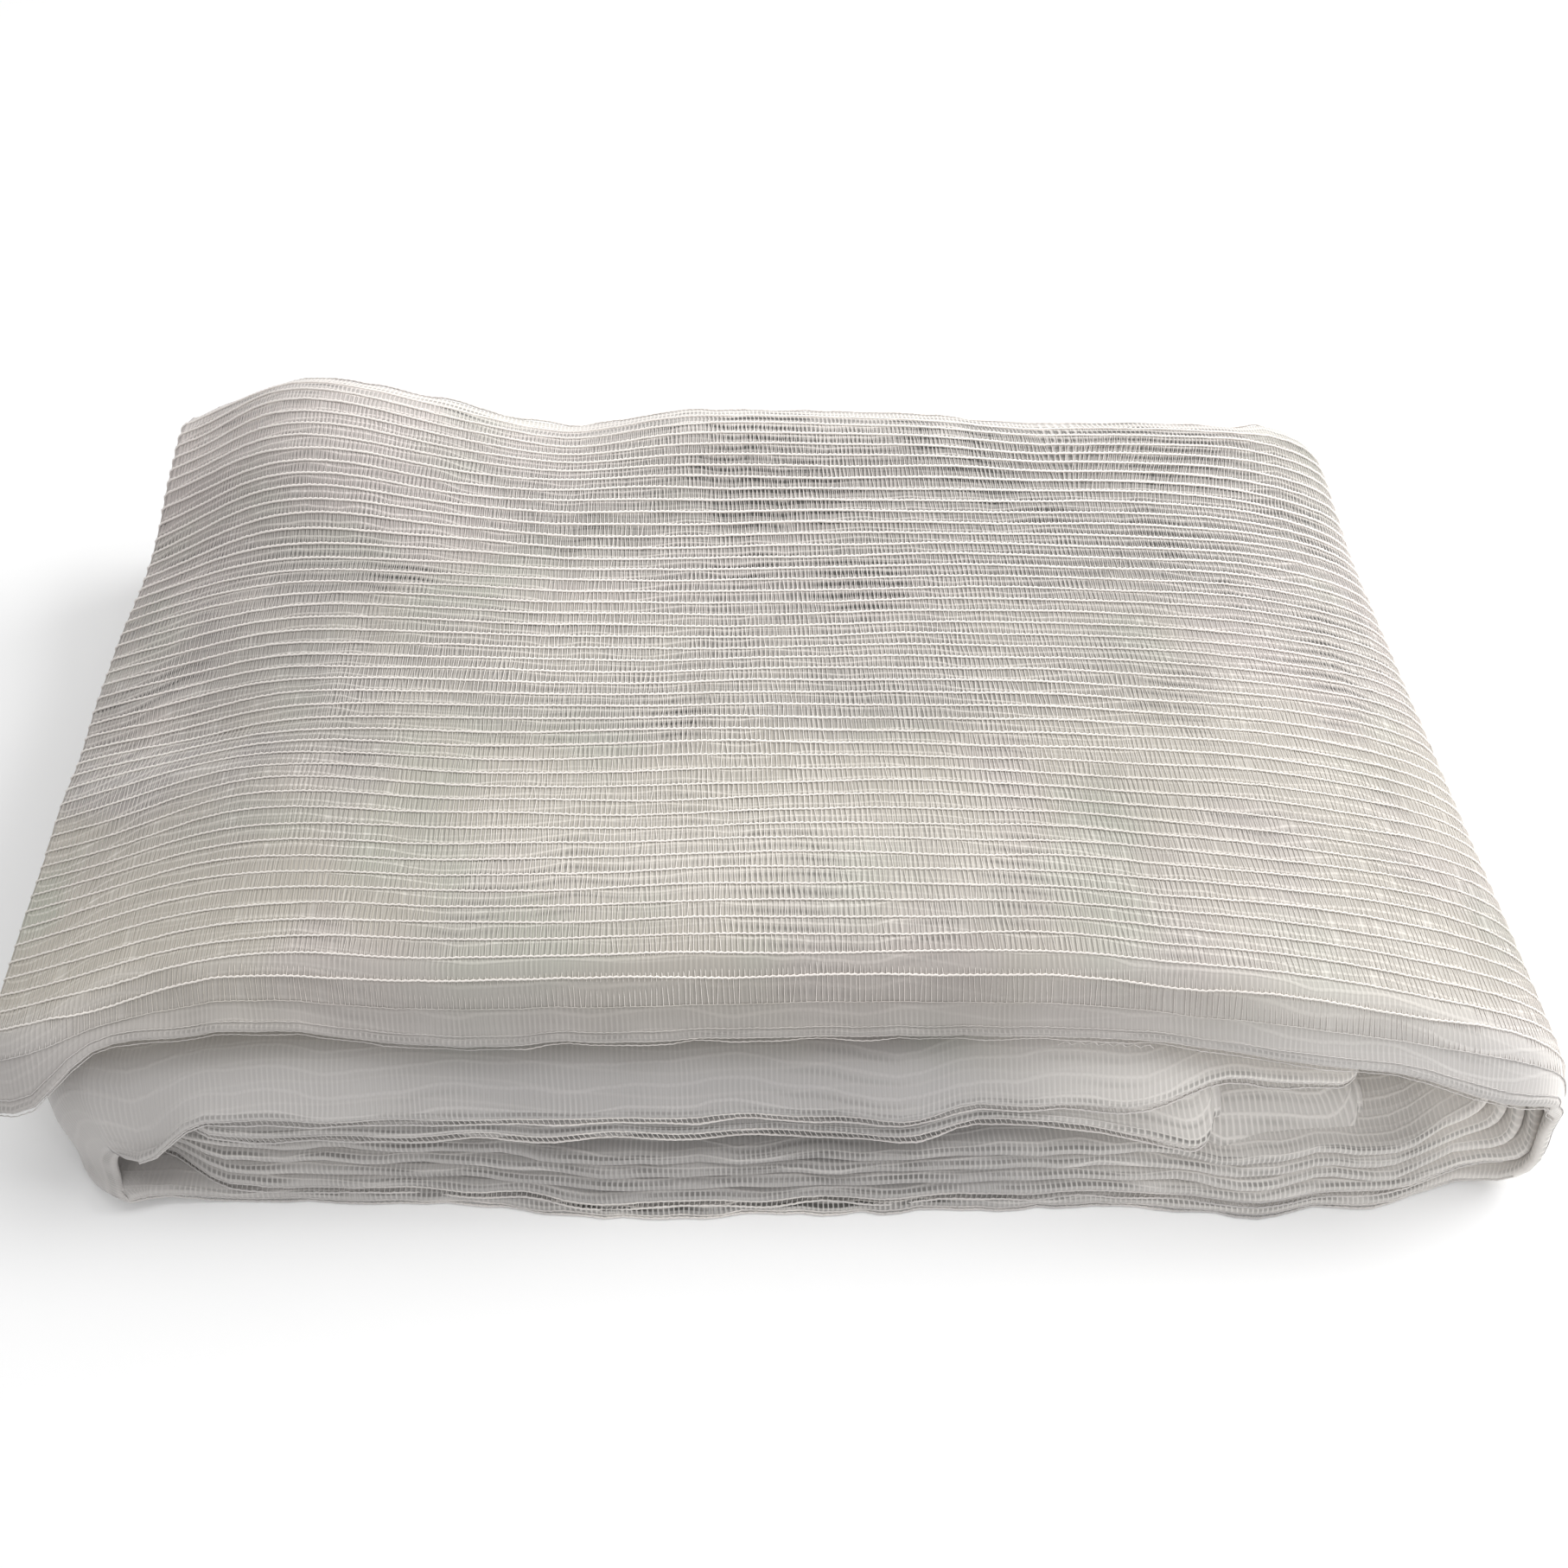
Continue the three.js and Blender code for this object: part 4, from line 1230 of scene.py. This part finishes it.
class NETTING_OT_edge_rows(bpy.types.Operator):
    """Knit an open row along the edges of the outer plies"""

    bl_idname = "netting.edge_rows"
    bl_label = "Edge rows"

    def execute(self, context):
        look = context.scene.netting
        yarn = yarn_material(look, "edge_yarn", 0.7, 0.3)
        quiet, cords, threads = [], [], []
        for third, ply, side, reach, drop in EDGE_ROWS:
            inner, outer = edge_row(third, ply, side, reach, drop)
            if (third, side) == ("top", "front"):
                quiet += [inner, outer]
                continue
            cords += [inner, outer]
            pairs = zip(evenly(inner, look.thread_spacing), evenly(outer, look.thread_spacing))
            threads += [(a, b) for a, b in pairs if np.linalg.norm(a - b) < LONGEST_EDGE_THREAD]
        # The yarns along the top ply's front lip are dimmed in the same way, as painted shade.
        lip_yarn = yarn_material(look, "lip_edge_yarn", 0.8, 0.4)
        yarn_piece("edge_lip", [*quiet, loose_zigzag()], lip_yarn, look.cord_radius * LIP_SIZE, EDGE_YARN)
        yarn_piece("edge_yarns", cords, yarn, look.cord_radius, EDGE_YARN)
        yarn_piece("edge_threads", threads, yarn, look.thread_radius, THREAD)
        return {"FINISHED"}


class NETTING_OT_cloth(bpy.types.Operator):
    """Fold the strip of cloth, with what is knitted on it"""

    bl_idname = "netting.cloth"
    bl_label = "Folded cloth"

    def execute(self, context):
        look = context.scene.netting
        cloth = folded_cloth(look.ply_thickness)
        cloth.data.materials.append(cloth_material(look))
        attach(cloth, "root")
        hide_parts("folded_net")
        return {"FINISHED"}


class NETTING_OT_stage(bpy.types.Operator):
    """Set up the pale floor, the soft lights and the camera"""

    bl_idname = "netting.stage"
    bl_label = "Stage"

    def execute(self, context):
        scene = context.scene
        stage = scene.netting_stage
        corners = [(FLOOR_REACH * x, FLOOR_REACH * y, 0) for x, y in ((-1, -1), (1, -1), (1, 1), (-1, 1))]
        floor = mesh_object("floor", corners, [(0, 1, 2, 3)])
        floor.data.materials.append(floor_material(stage.floor_colour))
        world = bpy.data.worlds.new("soft_light")
        world.use_nodes = True
        background = world.node_tree.nodes["Background"]
        background.inputs[0].default_value = (1, 1, 1, 1)
        background.inputs[1].default_value = stage.sky_strength
        scene.world = world
        for name, place, width in LIGHTS:
            data = bpy.data.lights.new(name + "_light", "AREA")
            data.energy, data.size = getattr(stage, name + "_power"), width
            lamp = bpy.data.objects.new(name + "_light", data)
            lamp.location = place
            lamp.rotation_euler = (-Vector(place)).to_track_quat("-Z", "Y").to_euler()
            scene.collection.objects.link(lamp)
        camera = bpy.data.objects.new("camera", bpy.data.cameras.new("camera"))
        camera.data.sensor_width = SENSOR_WIDTH
        camera.data.lens = stage.lens
        camera.location = CAMERA_PLACE
        camera.rotation_euler = (stage.tilt, 0, 0)
        scene.collection.objects.link(camera)
        scene.camera = camera
        scene.view_settings.view_transform = "Standard"
        return {"FINISHED"}


class NETTING_PT_panel(bpy.types.Panel):
    """Lists the pieces of the folded netting"""

    bl_idname = "NETTING_PT_panel"
    bl_label = "Folded netting"
    bl_space_type = "VIEW_3D"
    bl_region_type = "UI"
    bl_category = "Netting"

    def draw(self, context):
        layout = self.layout
        for group in (context.scene.netting, context.scene.netting_stage):
            for name in group.bl_rna.properties.keys():
                if name not in ("rna_type", "name"):
                    layout.prop(group, name)
        for operator in OPERATORS:
            layout.operator(operator.bl_idname)


OPERATORS = (NETTING_OT_ribs, NETTING_OT_cross_threads, NETTING_OT_edge_rows, NETTING_OT_stage, NETTING_OT_cloth)
CLASSES = (NettingSettings, StageSettings, *OPERATORS, NETTING_PT_panel)


def register():
    """Add the settings, the operators and the panel to Blender."""
    for cls in CLASSES:
        bpy.utils.register_class(cls)
    bpy.types.Scene.netting = bpy.props.PointerProperty(type=NettingSettings)
    bpy.types.Scene.netting_stage = bpy.props.PointerProperty(type=StageSettings)


def unregister():
    """Take out again what register added."""
    del bpy.types.Scene.netting_stage
    del bpy.types.Scene.netting
    for cls in reversed(CLASSES):
        bpy.utils.unregister_class(cls)


def main():
    """Make every piece in turn."""
    register()
    bpy.ops.netting.ribs()
    bpy.ops.netting.cross_threads()
    bpy.ops.netting.edge_rows()
    bpy.ops.netting.stage()
    bpy.ops.netting.cloth()


if __name__ == "__main__":
    main()
